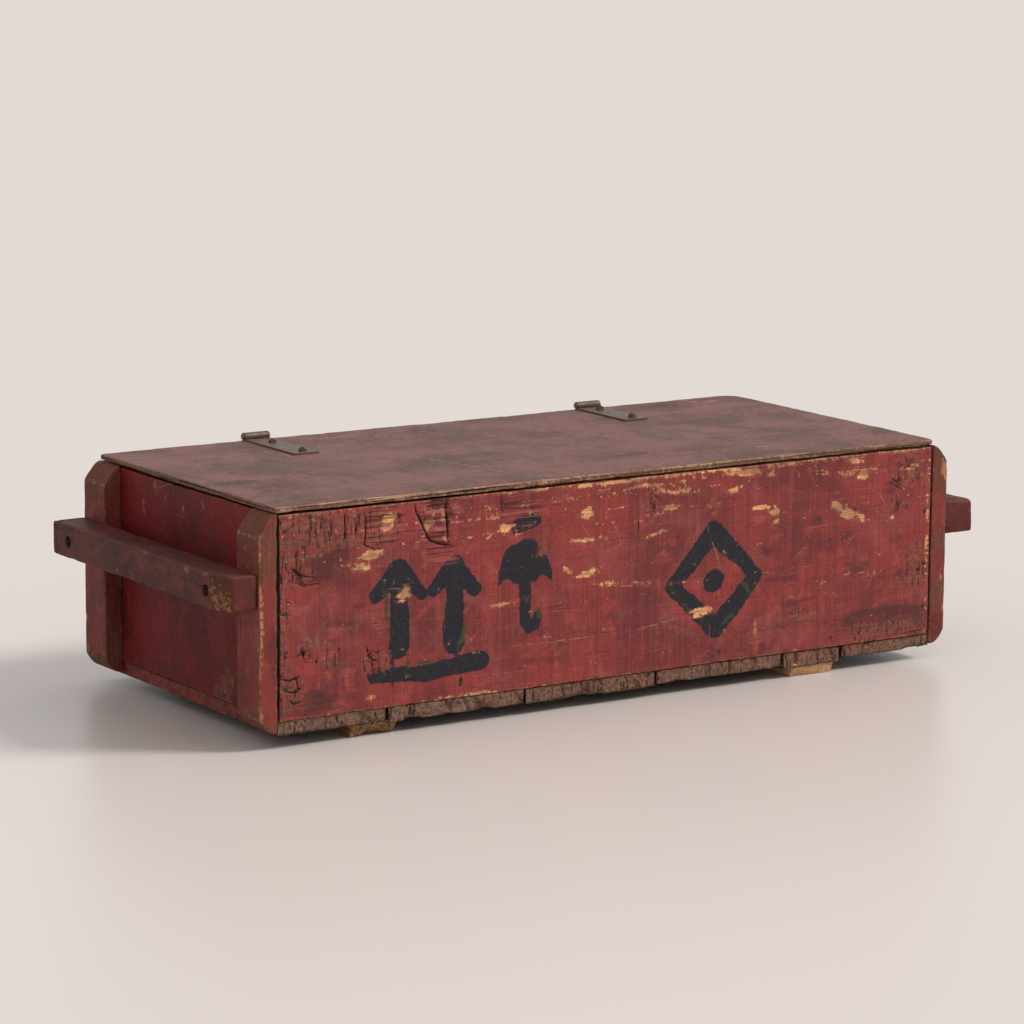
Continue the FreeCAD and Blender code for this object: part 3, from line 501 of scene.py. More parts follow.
def paint_group():
    """Old paint on wood: patchy colour, saw marks, grain, rubbed edges, chips, brushed marks, cracks,
    scratches and dirt, from the fields stored on the piece, with painted shade in gaps between parts,
    painted highlights on torn ridges and a painted sheen on the brushed marks."""
    colours = ("Paint", "Dark Paint", "Bright Paint", "Bare Wood", "Old Wood", "Mark", "First Coat")
    amounts = {"Saw Marks": 0.5, "Edge Wear": 2.0, "Chipping": 0.5, "Dirt": 0.5, "Hollows": 0.2,
               "Paint Left": 0.3, "Bloom": 0.45}
    inputs = {key: ("Color", (0.2, 0.1, 0.1, 1.0)) for key in colours}
    inputs.update({"Place": ("Vector", None), "Along": GRAIN_SCALES,
                   "Saw Direction": ("Vector", (420.0, 12.0, 12.0))})
    inputs.update({key: ("Float", value) for key, value in amounts.items()})
    n, given, sink = new_group("old_paint", inputs,
                               {"Color": "Color", "Roughness": "Float", "Height": "Float"})
    main, dark, bright, bare_wood, old_wood, brush, first_coat = (given[key] for key in colours)
    saw_marks, edge_wear, chipping, dirt, hollowed, paint_left, blooming = (given[key] for key in amounts)
    place = given["Place"]
    fibre, _, pore = n.group("wood_grain", {"Place": place, "Along": given["Along"]})
    along = n.stretch(place, given["Along"])
    sawn = n.stretch(place, given["Saw Direction"])
    chip_field, raw_field, from_edge = n.field("worn")
    black_field, green_field, ridged = n.field("drawn")
    crack, crack_width, stain = n.field("crack")
    scratch, scratch_width, flaking = n.field("scratch")
    saw = n.noise(sawn, 1.0, 3.0, 0.6)
    fine = n.noise(place, 900.0, 2.0, 0.6)
    coarse = n.noise(place, 130.0, 4.0, 0.65)
    broad = n.noise(place, 9.0, 4.0, 0.6, 0.4)
    patch = n.noise(place, 34.0, 4.0, 0.62, 0.6)
    streak = n.noise(along, 0.42, 4.0, 0.68, 0.3)

    # Dirt: dark blotches and stored stains.
    blotch = (streak * 0.45 + coarse * 0.55).step(0.54, 0.64)
    stained = (stain + ((coarse - 0.5) * 0.9 + (streak - 0.5) * 0.9)).step(0.15, 1.05)
    grime = n.most(blotch * (dirt * 0.6), stained * 0.70)

    # Paint: broad patches, faint saw marks across the grain, rubbed fibres along it, and the dirt.
    dusky = n.mix(0.5, dark, SHADE)
    paint = n.layers(n.mix(broad.step(0.40, 0.62), main, dark), (
        (patch.step(0.52, 0.70) * 0.65, bright),
        (n.noise(place, 16.0, 5.0, 0.7, 0.8).step(0.50, 0.66) * blooming, n.mix(0.45, main, BLOOM)),
        (n.noise(sawn, 0.16, 2.0, 0.55).step(0.50, 0.66) * (saw_marks * 0.5), n.mix(0.35, dark, SHADE)),
        (saw.step(0.48, 0.74) * (saw_marks * 0.42), n.mix(0.35, bright, BLOOM)),
        (saw.step(0.50, 0.30) * (saw_marks * 0.38), dusky),
        (fibre.step(0.52, 0.70) * 0.28, dusky),
        (streak.step(0.60, 0.72) * 0.45, dusky),
        (streak.step(0.42, 0.30) * patch.step(0.40, 0.58) * 0.4, n.mix(0.3, bright, BLOOM)),
        (n.noise(along, 1.9, 1.0, 0.5, 0.4).step(0.60, 0.68) * patch.step(0.47, 0.60) * 0.6, SHADE),
        (grime, SHADE),
        (n.noise(place, 420.0, 2.0, 0.5).step(0.36, 0.31) * (dirt * 1.2), SHADE),
    ))

    # Brushed marks over the paint, with the first coat showing through where they are scraped.
    ragged = (streak * 0.7 + coarse * 0.5 - 0.6) * 11.0 + (fine - 0.5) * 3.5
    black = (black_field - FIELD_REACH + ragged).step(-0.4, 0.5)
    green = (green_field - FIELD_REACH + ragged * 1.3).step(-0.8, 0.8)
    thin = (coarse * 0.5 + patch * 0.6).step(0.60, 0.68)
    scraped = thin * (fine + streak * 0.4).step(0.64, 0.74)
    mark = n.layers(n.mix(n.most(green, scraped * 0.8), brush, first_coat), (
        # The lighter blue-grey along the saw marks on the black is a painted sheen.
        (saw.step(0.55, 0.78) * 0.25, (0.045, 0.045, 0.058)),
        (fine.step(0.70, 0.76) * thin, (0.30, 0.27, 0.22)),
    ))
    painted = n.mix(n.most(black, green * 0.85), paint, mark)

    # Worn through: edges, stored chips, and flakes that follow the grain.
    reach = (coarse * 0.55 + patch * 0.65).step(0.54, 0.78, 0.0, 2.6)
    edge = (edge_wear * reach - from_edge).step(-0.5, 0.6)
    chip = chip_field - FIELD_REACH + (streak * 0.35 + (coarse * 0.5 + fine * 0.15) - 0.5) * 34.0
    near_chip = chip.step(-5.0, 1.0)
    fleck = streak * 0.50 + (coarse * 0.45 + patch * 0.25)
    flake = (fleck - (0.83 - (chipping + flaking) * 0.20)).step(-0.010, 0.016)
    tick = n.noise(place, 300.0, 1.0, 0.5, 0.4).step(0.735, 0.76) * patch.step(0.48, 0.60)
    through = n.most(chip.step(-0.5, 0.6), n.most(flake, tick * chipping.step(0.0, 0.5)))
    raw = (raw_field + ((streak - 0.5) * 1.6 + (coarse - 0.5) * 3.6)).step(0.55, 0.95)
    bare = n.layers(n.mix(fibre.step(0.36, 0.60), n.mix(0.45, bare_wood, old_wood), bare_wood), (
        (pore * 0.55, old_wood),
        (coarse.step(0.50, 0.36) * 0.55, n.mix(0.5, old_wood, BLOOM)),
        ((broad * 0.6 + patch * 0.4).step(0.47, 0.55) * 0.55, n.mix(0.22, old_wood, WEATHERED)),
        (streak.step(0.59, 0.65) * 0.45, bright),
    ))
    aged = n.mix(fibre.step(0.36, 0.66), old_wood, n.mix(0.16, old_wood, bare_wood))

    # Rough wood: the paint stays on its ridges, its hollows are dark and a few ridges are bright.
    across = n.shift(n.stretch(place, (230.0, 230.0, 42.0)), n.stretch(place, (9.0, 0.0, 9.0)))
    rough = n.layers(aged, (
        (streak.step(0.38, 0.58) * paint_left, n.mix(0.25, main, old_wood)),
        (fibre.step(0.60, 0.72) * 0.7, n.mix(0.4, bright, bare_wood)),
    ))
    hollows = n.noise(across, 1.0, 2.0, 0.6, 0.5).step(0.44, 0.36) * (raw * hollowed)

    # Ridged grain where the wood has been torn, its ridge tops lighter as a painted highlight, then cracks
    # and scratches.
    grooves = n.noise(along, 1.25, 1.0, 0.5, 0.3)
    ridge_line = grooves.step(0.47, 0.38) * ridged
    ridge_highlight = grooves.step(0.54, 0.64) * ridged
    crack_line = n.thin_line(place, crack, crack_width, 220.0, 3.0, 3.2, 0.35)
    scratch_line = (n.thin_line(place, scratch, scratch_width, 260.0, 2.0, 1.6, 0.3)
                    * (coarse + fine * 0.3).step(0.57, 0.68))
    surface = n.layers(painted, (
        (near_chip * 0.5, n.mix(0.4, bright, old_wood)),
        (raw * 0.8, rough),
        (hollows * 0.85, (0.022, 0.010, 0.009)),
        (edge * 0.85, n.mix(patch.step(0.40, 0.60), bare, aged)),
        (through, bare),
        # Lighter ridge tops: a painted highlight.
        (ridge_highlight * 0.55, n.mix(0.35, bright, BLOOM)),
        (ridge_line * 0.62, (0.050, 0.014, 0.014)),
        (scratch_line * 0.7, n.mix(0.4, bare_wood, (0.42, 0.26, 0.22))),
        # Near-black lines: real cracks, and painted shade in the gaps between parts.
        (crack_line * 0.95, (0.008, 0.005, 0.005)),
        (fine.step(0.45, 0.72) * 0.08, (0.34, 0.22, 0.20)),
    ))
    roughness = 0.50 + n.most(through, n.most(raw, edge)) * 0.3 + (coarse - 0.5) * 0.35 - black * 0.04
    height = (saw - 0.5) * (saw_marks * 0.6) + fibre * (0.45 + n.most(raw, through) * 0.9)
    height = height - n.most(through, edge * 0.6) * 0.9 + black * 0.35
    height = height - (ridge_line * 2.4 + hollows * 2.6) - (crack_line * 3.2 + scratch_line * 0.7)
    n.feed(sink, {"Color": surface, "Roughness": roughness, "Height": height + coarse * 0.9})


def start_material(name):
    """A material with a Principled shader: gives its nodes and the shader."""
    material = bpy.data.materials.new(name)
    material.use_nodes = True
    tree = material.node_tree
    tree.nodes.clear()
    shader = tree.nodes.new("ShaderNodeBsdfPrincipled")
    output = tree.nodes.new("ShaderNodeOutputMaterial")
    tree.links.new(shader.outputs[0], output.inputs[0])
    return Nodes(tree), shader


# Every finish's name starts with this, which keeps it apart from the CAD slots.
PREFIX = "worn_"
SHEEN = 0.12


def finish(*names):
    """Finishes by name."""
    return [bpy.data.materials[PREFIX + name] for name in names]


def scales(letter, along, across):
    """Texture scales: one along an axis, another across it."""
    return tuple(along if axis == letter else across for axis in "xyz")


def grain_scales(letter):
    return scales(letter, 7.0, 230.0)


def scaled(colour, share):
    return tuple(c * share for c in colour)


def painted_material(name, grain, sawn, specular=SHEEN, **values):
    """A finish of old paint over wood whose grain and saw marks follow two axes; values are the
    paint group's inputs."""
    paint = bpy.context.scene.crate_paint
    n, shader = start_material(PREFIX + name)
    settings = {
        "Place": n.place(), "Along": grain_scales(grain), "Saw Direction": scales(sawn, 360.0, 9.0),
        "Paint": paint.red, "Dark Paint": paint.dark_red, "Bright Paint": paint.bright_red,
        "Bare Wood": paint.bare_wood, "Old Wood": paint.old_wood, "Mark": paint.brush_black,
        "First Coat": paint.brush_green,
    }
    settings.update({key.replace("_", " "): value for key, value in values.items()})
    colour, roughness, height = n.group("old_paint", settings)
    n.feed(shader, {"Base Color": colour, "Roughness": roughness, "Specular IOR Level": specular,
                    "Normal": n.bump(height, 0.85, 0.0008)})


def wood_material(name, grain, light, dark, red=0.0, cracked=False):
    """Bare wood: fibres, bands, pores and a few red splashes, with the stored cracks if it has them; these
    also carry painted shade in the gaps between planks and under them.
    """
    n, shader = start_material(PREFIX + name)
    place = n.place()
    fibre, band, pore = n.group("wood_grain", {"Place": place, "Along": grain_scales(grain)})
    coats = [
        (band.step(0.4, 0.62) * 0.5, n.mix(0.6, light, dark)),
        (pore * 0.6, scaled(dark, 0.25)),
        (n.noise(place, 60.0, 4.0, 0.6).step(0.5, 0.72) * 0.55, scaled(dark, 0.5)),
        (n.noise(place, 18.0, 2.0, 0.5).step(0.48, 0.64) * 0.4, scaled(light, 1.25)),
    ]
    if red:
        splash = n.noise(place, 38.0, 6.0, 0.72).step(0.60 - red * 0.2, 0.68) * 0.6
        coats.append((splash, n.mix(0.5, bpy.context.scene.crate_paint.red, dark)))
    height = fibre - pore * 0.8
    if cracked:
        crack, crack_width, stain = n.field("crack")
        line = n.thin_line(place, crack, crack_width, 260.0, 3.0, 3.0, 0.4)
        tone = n.mix(fibre.step(0.40, 0.62), (0.10, 0.038, 0.026), (0.235, 0.105, 0.070))
        # The stored stain is painted shade on the planks' undersides, and the stored lines also paint shade
        # on the sides where planks meet.
        coats += [(n.noise(place, 6.0, 2.0, 0.5).step(0.42, 0.60) * 0.45, tone),
                  (stain * 0.8, (0.030, 0.017, 0.013)), (line * 0.95, (0.010, 0.006, 0.005))]
        height = height - line * 3.0
    wood = n.layers(n.mix(fibre.step(0.34, 0.68), dark, light), coats)
    n.feed(shader, {"Base Color": wood, "Roughness": fibre.step(0.3, 0.7, 0.85, 0.65),
                    "Specular IOR Level": SHEEN, "Normal": n.bump(height, 0.8, 0.0010)})


def iron_material(name, iron, rust, rusted):
    """Dark iron with rust, pits and rubbed spots."""
    n, shader = start_material(PREFIX + name)
    place = n.place()
    blotch = n.noise(place, 150.0, 5.0, 0.65)
    fine = n.noise(place, 1500.0, 3.0, 0.6)
    amount = (blotch * 0.7 + fine * 0.3).step(0.62 - rusted * 0.2, 0.72 - rusted * 0.2)
    metal = n.mix(fine.step(0.35, 0.7), iron, scaled(iron, 1.5))
    rusty = n.mix(fine.step(0.3, 0.7), scaled(rust, 0.5), rust)
    n.feed(shader, {"Base Color": n.mix(amount, metal, rusty), "Roughness": 0.42 + amount * 0.38,
                    "Metallic": amount.step(0.0, 1.0, 0.40, 0.02),
                    "Normal": n.bump(blotch * 1.2 + fine, 0.6, 0.0004)})


def make_materials():
    """Every finish of the crate, by name."""
    paint = bpy.context.scene.crate_paint
    grain_group()
    paint_group()
    painted_material("wall_paint", "x", "x", Edge_Wear=1.9, Chipping=0.5, Saw_Marks=0.65, Dirt=0.7,
                     Hollows=1.0, Paint_Left=0.9, Bloom=0.38)
    painted_material("end_paint", "z", "y", Edge_Wear=0.8, Chipping=0.05, Saw_Marks=0.22, Bloom=0.08,
                     Paint=(0.158, 0.006, 0.006), Dark_Paint=(0.088, 0.006, 0.007),
                     Bright_Paint=(0.205, 0.014, 0.010), Bare_Wood=(0.42, 0.15, 0.06))
    painted_material("batten_paint", "z", "y", Edge_Wear=2.5, Chipping=0.2, Saw_Marks=0.2, Bloom=0.2,
                     Paint=(0.215, 0.034, 0.030), Dark_Paint=(0.120, 0.022, 0.020),
                     Bright_Paint=(0.31, 0.058, 0.036), Bare_Wood=(0.42, 0.205, 0.090),
                     Old_Wood=(0.095, 0.050, 0.030))
    painted_material("handle_paint", "y", "y", Edge_Wear=1.6, Chipping=0.1, Saw_Marks=0.1, Bloom=0.12,
                     Paint=paint.handle_brown, Dark_Paint=(0.048, 0.013, 0.011),
                     Bright_Paint=(0.165, 0.026, 0.020), Bare_Wood=(0.26, 0.125, 0.055),
                     Old_Wood=(0.070, 0.032, 0.020))
    painted_material("lid_paint", "x", "x", 0.04, Edge_Wear=4.2, Chipping=0.0, Saw_Marks=0.15, Dirt=0.40,
                     Bloom=0.30, Paint=paint.lid_brown, Dark_Paint=(0.118, 0.069, 0.056),
                     Bright_Paint=(0.250, 0.098, 0.082), Bare_Wood=(0.44, 0.26, 0.155),
                     Old_Wood=(0.140, 0.076, 0.050))
    for name, grain, light, dark, red, cracked in (
        ("inside_wood", "x", (0.42, 0.28, 0.17), (0.24, 0.14, 0.085), 0.0, False),
        ("inside_end_wood", "z", (0.40, 0.27, 0.165), (0.23, 0.135, 0.08), 0.0, False),
        ("inside_plank_wood_and_shade", "y", (0.38, 0.26, 0.16), (0.21, 0.13, 0.08), 0.0, False),
        ("plank_wood_and_shade", "y", (0.255, 0.150, 0.105), (0.090, 0.045, 0.034), 0.35, True),
        ("left_runner_wood", "y", (0.36, 0.195, 0.090), (0.09, 0.042, 0.024), 0.2, False),
        ("right_runner_wood", "y", (0.60, 0.35, 0.18), (0.42, 0.22, 0.11), 0.0, False),
    ):
        wood_material(name, grain, light, dark, red, cracked)
    iron_material("hinge_iron", paint.iron, paint.rust, 0.75)
    iron_material("bolt_iron", scaled(paint.iron, 0.8), paint.rust, 0.6)
    iron_material("nail_iron", (0.022, 0.016, 0.015), (0.07, 0.032, 0.02), 0.5)


# ---------------------------------------------------------------- the front panel

# Places on the front panel: right from its left end, up from its lower edge, in millimetres.
FRONT_CHIPS = (
    (155, 222, 22, 7, 8), (180, 268, 16, 11, 70), (140, 205, 24, 7, -4), (378, 238, 15, 6, -8),
    (515, 246, 12, 9, 30), (512, 209, 26, 2.5, 2), (480, 167, 10, 5, -20), (521, 160, 20, 6, 8),
    (555, 290, 60, 3, 0), (365, 127, 24, 4, 3), (800, 285, 28, 7, -3), (845, 277, 10, 6, 10),
    (776, 257, 13, 3.6, 0), (1000, 285, 15, 6, -12), (832, 227, 20, 5, -8), (853, 217, 8, 14, 10),
    (968, 216, 14, 7, -42), (990, 202, 20, 8, -26), (1014, 193, 18, 6, -16), (1016, 258, 12, 8, 15),
    (623, 280, 20, 4, 0), (684, 264, 30, 4, -5), (665, 241, 12, 3, -4), (713, 78, 22, 6, 4),
    (585, 137, 40, 2, -5), (150, 13, 6, 4, 20), (312, 3, 32, 2.5, 0), (820, 48, 3, 12, 0),
    (760, 292, 110, 2.4, 0), (1060, 292, 70, 2.2, 0), (640, 292, 60, 2.0, 0), (1142, 150, 2, 90, 0),
    (245, 252, 5, 16, -35), (272, 262, 4, 22, 5), (205, 160, 12, 9, 30), (945, 292, 120, 1.8, 0),
    (430, 292, 60, 1.6, 0), (1110, 262, 12, 4, 20), (1075, 190, 9, 4, 30), (640, 205, 14, 3, 15),
)
FRONT_RAW = (
    (44, 262, 56, 40, -8), (92, 272, 40, 22, 0), (18, 230, 16, 50, 4), (30, 204, 26, 12, -8),
    (165, 262, 40, 34, 0), (160, 68, 26, 16, 0), (24, 40, 22, 20, 20), (70, 92, 40, 18, -25),
    (118, 262, 22, 30, 0), (1060, 16, 85, 12, 0), (1100, 262, 34, 22, 0), (905, 58, 26, 8, 0),
    (1120, 110, 26, 40, 5), (626, 256, 9, 30, 6), (440, 200, 14, 8, 0), (8, 146, 10, 150, 0),
    (1080, 205, 20, 12, 0),
)
FRONT_RIDGES = (
    (256, 262, 30, 42, -8), (400, 262, 36, 30, 0), (270, 214, 28, 18, -12), (172, 262, 34, 34, 0),
)
FRONT_STAINS = (
    (105, 130, 22, 5, 0), (130, 150, 10, 4, 0), (440, 40, 26, 3, 0), (858, 116, 26, 6, -3),
    (840, 158, 12, 6, 0), (1085, 154, 16, 6, 5), (1076, 238, 20, 12, 20), (1114, 270, 14, 8, 0),
    (24, 46, 18, 10, 0), (900, 76, 30, 4, 0), (262, 288, 30, 10, 0), (1060, 30, 90, 26, 0),
    (40, 20, 60, 20, 0), (60, 240, 60, 50, 0), (930, 196, 12, 6, 10), (1010, 120, 24, 8, 0),
    (985, 168, 14, 7, 0), (1100, 100, 20, 12, 0),
)
# Thin lines: half width, then the places along the line.
FRONT_CRACKS = (
    (1.5, 221, 293, 225, 276, 238, 252, 248, 232, 266, 225, 288, 221),
    (1.2, 275, 293, 277, 262, 278, 225), (0.8, 366, 293, 368, 272, 370, 258),
    (0.9, 141, 284, 143, 255, 140, 236, 158, 228, 176, 230), (0.8, 52, 293, 55, 268, 50, 240),
    (0.9, 72, 290, 70, 262), (0.8, 604, 234, 606, 208), (0.8, 626, 268, 640, 256, 648, 254),
    (0.7, 12, 190, 28, 205, 48, 200), (0.7, 38, 96, 44, 84), (0.7, 22, 196, 46, 186),
    (0.7, 1080, 268, 1092, 262, 1128, 266), (0.6, 2, 150, 26, 149), (0.5, 870, 60, 900, 59),
    (0.6, 150, 85, 146, 70, 160, 60), (0.7, 1062, 246, 1076, 238, 1094, 228), (0.5, 190, 250, 230, 248),
    (0.6, 1090, 6, 1150, 7), (1.2, 37, 102, 43, 90, 45, 78), (0.9, 28, 86, 38, 93, 52, 96),
    (1.3, 143, 92, 148, 78, 156, 70, 168, 66), (0.8, 150, 86, 160, 80, 170, 82),
    (1.4, 6, 60, 20, 56, 36, 61), (1.2, 12, 42, 26, 38, 40, 44), (1.1, 18, 30, 26, 22, 38, 25),
    (1.3, 31, 62, 33, 44, 28, 32), (1.2, 20, 217, 40, 202, 64, 197), (0.9, 35, 208, 41, 190),
    (0.8, 28, 196, 50, 188, 72, 190), (1.2, 108, 288, 110, 262, 107, 240), (1.0, 86, 280, 88, 250),
    (0.9, 128, 274, 126, 246), (1.0, 1070, 250, 1080, 242, 1090, 248),
    (0.9, 1098, 272, 1106, 262, 1120, 262), (0.8, 622, 270, 628, 250, 624, 232),
    (0.7, 700, 268, 704, 252), (0.7, 930, 270, 948, 268),
)
FRONT_SCRATCHES = (
    (0.7, 356, 66, 450, 64, 560, 64), (0.8, 540, 139, 580, 133, 626, 130),
    (0.8, 724, 219, 736, 186, 748, 160, 752, 140), (0.6, 735, 60, 736, 30),
    (0.7, 590, 64, 660, 72, 700, 78), (0.6, 1070, 262, 1080, 232, 1092, 200), (0.6, 460, 300, 540, 180),
    (0.6, 560, 236, 580, 180), (0.5, 880, 130, 940, 128), (0.6, 175, 170, 215, 168),
    (0.6, 820, 130, 880, 118), (0.5, 300, 30, 420, 26), (0.6, 985, 150, 1010, 175),
    (0.5, 430, 110, 520, 104), (0.7, 1040, 240, 1062, 206),
)


def arrow(u, low, high, reach, half):
    """Brush strokes of an arrow that points up."""
    head = high - reach * 0.9
    return [(half * 1.1, half * 0.9, ((u, low), (u + 2, high))),
            (half * 0.7, half, ((u - reach, head), (u, high))),
            (half, half * 0.75, ((u, high), (u + reach, head - 4)))]


def umbrella(u, v, stick, low, high, reach, half):
    """Signed distance inside an umbrella: a dome with three scallops, a stick and a hook."""
    rim = low + (high - low) * 0.52
    dome = (1.0 - np.hypot((u - stick) / reach, (v - rim) / (high - rim))) * reach * 0.8
    dome = np.minimum(dome, v - rim)
    for number in (-1, 0, 1):
        middle = stick + number * reach * 0.66
        dome = np.minimum(dome, np.hypot(u - middle, v - rim + 5) - reach * 0.27)
    hook = [(half * 0.6, half * 0.5, ((stick, rim + 9), (stick + 1, low + 10), (stick + 8, low + 1),
                                      (stick + 18, low + 4), (stick + 21, low + 15)))]
    return np.maximum(dome, strokes(u, v, hook))


# Brushed lines: share of the brush's half width at the start and at the end, and the path.
BRUSHED_LINES = (
    (0.7, 0.95, ((156, 48), (240, 42), (334, 50))), (0.75, 0.6, ((394, 239), (427, 245))),
    (1.0, 0.8, ((744, 197), (818, 126))), (0.8, 1.05, ((818, 126), (746, 52))),
    (1.05, 0.75, ((746, 52), (666, 122))), (0.8, 1.0, ((666, 122), (740, 199))),
)
DRIPS = (
    (3.4, 2.4, ((186, 88), (186, 30))), (3.0, 1.8, ((300, 46), (300, 18))),
    (3.2, 2.0, ((752, 50), (753, 14))), (2.4, 1.6, ((212, 90), (213, 62))),
)
LOZENGE_DOT = (742, 124, 19, 17, 20)
GREEN_SPOTS = (
    (212, 60, 3, 17, 8), (303, 92, 3.5, 20, -18), (432, 106, 3, 9, 20), (762, 60, 14, 3, 35),
    (798, 112, 3, 16, 40), (741, 10, 5, 4, 0), (240, 56, 22, 2.5, -2), (176, 150, 2.5, 20, 0),
    (690, 92, 18, 2.5, -42), (474, 78, 3, 2, 0),
)


def front_marks(u, v):
    """Brushed handling marks: two arrows over a bar, an umbrella under a dash, a lozenge round a dot."""
    half = wear_size("brush_width") / 2
    spread = np.stack([u, np.zeros(len(u)), v], -1)
    wobble = 3.2 * rough_noise(spread, (34.0, 1.0, 34.0), 61, 2)
    wobble = wobble + 1.2 * rough_noise(spread, (7.0, 1.0, 9.0), 62, 2)
    shapes = arrow(197, 84, 196, 38, half) + arrow(288, 80, 192, 36, half)
    shapes += [(half * first, half * last, path) for first, last, path in BRUSHED_LINES] + list(DRIPS)
    black = np.maximum(strokes(u, v, shapes), umbrella(u, v, 408.0, 88.0, 218.0, 46.0, half))
    black = np.maximum(black, blobs(u, v, (LOZENGE_DOT,))) + wobble
    green = blobs(u, v, GREEN_SPOTS, wobble * 0.8)
    return black, green


def lower_top(board, depth, seed):
    """Wear the top of a wall down unevenly, so that a dark gap shows under the lid."""
    along = board.base * np.array((1.0, 1.0, 0.0))
    uneven = 0.75 + 0.25 * rough_noise(along, (60.0, 60.0, 1.0), seed)
    share = fade(board.base[:, 2], board.high[2] - 30.0, board.high[2])
    board.points[:, 2] -= depth * uneven * share


def make_front_panel():
    pitch = wear_size("grid")
    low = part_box("front_panel")[0]
    left, foot = low.x / MM, low.z / MM
    dense_x = ((left + 215, left + 292, 1.5), (left + 130, left + 180, 2.2))
    dense_z = ((foot + 212, foot + 293, 1.9),)
    board = Board("front_panel", (pitch, 4.0, pitch), flat=(1, 1), dense=(dense_x, (), dense_z))
    u = board.base[:, 0] - left
    v = board.base[:, 2] - foot
    flat = np.stack([board.base[:, 0], np.zeros(len(u)), board.base[:, 2]], -1)
    ragged = 5.0 * rough_noise(flat, (26.0, 26.0, 9.0), 11)
    chip = blobs(u, v, FRONT_CHIPS, ragged)
    raw = fade(blobs(u, v, FRONT_RAW, ragged * 1.3), -9.0, 5.0)
    ridge = fade(blobs(u, v, FRONT_RIDGES, ragged), -5.0, 6.0)
    stain = fade(blobs(u, v, FRONT_STAINS, ragged * 1.5), -6.0, 5.0) * 0.8
    # Dark lines down the panel's two ends, drawn with the cracks: painted shade in the gaps between the
    # panel and the battens.
    joint_shadows = ((3.6, 1.4, -40, 1.4, 330), (2.4, 1148.4, -40, 1148.4, 330))
    crack, crack_width = line_fields(u, v, FRONT_CRACKS + joint_shadows)
    scratch, scratch_width = line_fields(u, v, FRONT_SCRATCHES)
    black, green = front_marks(u, v)
    nail_gaps = [np.hypot(board.base[:, 0] - x, board.base[:, 2] - z)
                 for x, _, z in nail_spots("front_panel_nails", 1, -1)]
    for gap in nail_gaps:
        stain = np.maximum(stain, fade(gap, 8.0, 2.8))
    fade_top = fade(v, 120.0, 290.0)
    board.paint(chip=stored(chip - 1.0), raw=raw, ridge=ridge, stain=stain, crack=crack,
                crack_width=crack_width, scratch=scratch, scratch_width=scratch_width,
                black=stored(black), green=stored(green), flake=0.2 * fade_top)
    front = fade(-board.normal[:, 1], 0.3, 0.9)
    board.bow(5, 1, wear_size("warp"))
    layered = fade(rough_noise(flat, (46.0, 1.0, 5.0), 21, 2), -0.3, 0.7)
    gouge = fade(blobs(u, v, ((258, 262, 24, 40, -18),)), -3.0, 9.0)
    board.wear(front * (gouge * (1.6 + 2.8 * layered) + ridge * 0.9 * layered))
    slit = np.exp(-(crack / 1.6) ** 2) * fade(crack_width, 0.0, 0.9)
    board.wear(front * slit * 2.6)
    board.wear(front * 0.7 * fade(chip, -2.0, 3.0))
    board.wear(front * 0.9 * raw * fade(rough_noise(flat, (16.0, 1.0, 6.0), 31), -0.2, 0.8))
    for gap in nail_gaps:
        board.wear(front * 0.8 * fade(gap, 6.5, 3.5))
    sides = fade(np.abs(board.normal[:, 0]), 0.3, 0.9)
    board.wear(sides * (1.9 + 0.7 * rough_noise(board.base, (30.0, 30.0, 50.0), 43)))
    board.nibble(41, 1.8, 7.0)
    lower_top(board, 3.3, 42)
    board.piece("front_panel_board", finish("wall_paint", "inside_wood"), "crate", "red_paint")


def nail_spots(node, axis, way):
    """Middles of the heads of the nails in one node, whose heads face along an axis."""
    points = np.array([vertex.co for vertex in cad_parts[node].data.vertices]) / MM
    spots = []
    others = [number for number in range(3) if number != axis]
    for point in points[np.argsort(points[:, axis] * -way)]:
        if all(np.hypot(*(point - spot)[others]) > NAIL_REACH for spot in spots):
            group = points[np.hypot(*(points - point)[:, others].T) < NAIL_REACH]
            top = (group[:, axis] * way).max()
            head = group[group[:, axis] * way > top - 0.05]
            spots.append(head.mean(axis=0))
    return spots


# ---------------------------------------------------------------- the other boards

def random_marks(seed, low, high, along, cracks, scratches):
    """Cracks along the grain and scratches any way, scattered over a face."""
    rng = np.random.default_rng(seed)
    crack_paths = []
    for _ in range(cracks):
        spot = rng.uniform(low, high)
        run = rng.uniform(15, 90) * np.array(along, float)
        drift = rng.uniform(-3, 3, 2)
        crack_paths.append((rng.uniform(0.45, 0.9), *spot, *(spot + run * 0.5 + drift), *(spot + run)))
    scratch_paths = []
    for _ in range(scratches):
        spot = rng.uniform(low, high)
        turn = rng.uniform(0, math.pi)
        run = rng.uniform(20, 110) * np.array((math.cos(turn), math.sin(turn)))
        scratch_paths.append((rng.uniform(0.4, 0.8), *spot, *(spot + run)))
    return crack_paths, scratch_paths


def scatter(seed, low, high, count, size, flatten=0.4, upright=False):
    """Blobs of random place, size and tilt over a face: a few large, many small, more near the edges."""
    rng = np.random.default_rng(seed)
    shapes = []
    for _ in range(count):
        spot = rng.uniform(low, high)
        edge = np.where(spot > (low + high) / 2, high, low)
        spot = np.where(rng.uniform(0, 1, 2) < 0.3, spot + (edge - spot) * 0.8, spot)
        long = (0.30 + 0.85 * rng.uniform() ** 2) * size
        tilt = rng.uniform(-14, 14) + (90 if upright else 0)
        shapes.append((spot[0], spot[1], long, long * flatten * rng.uniform(0.6, 1.4), tilt))
    return shapes


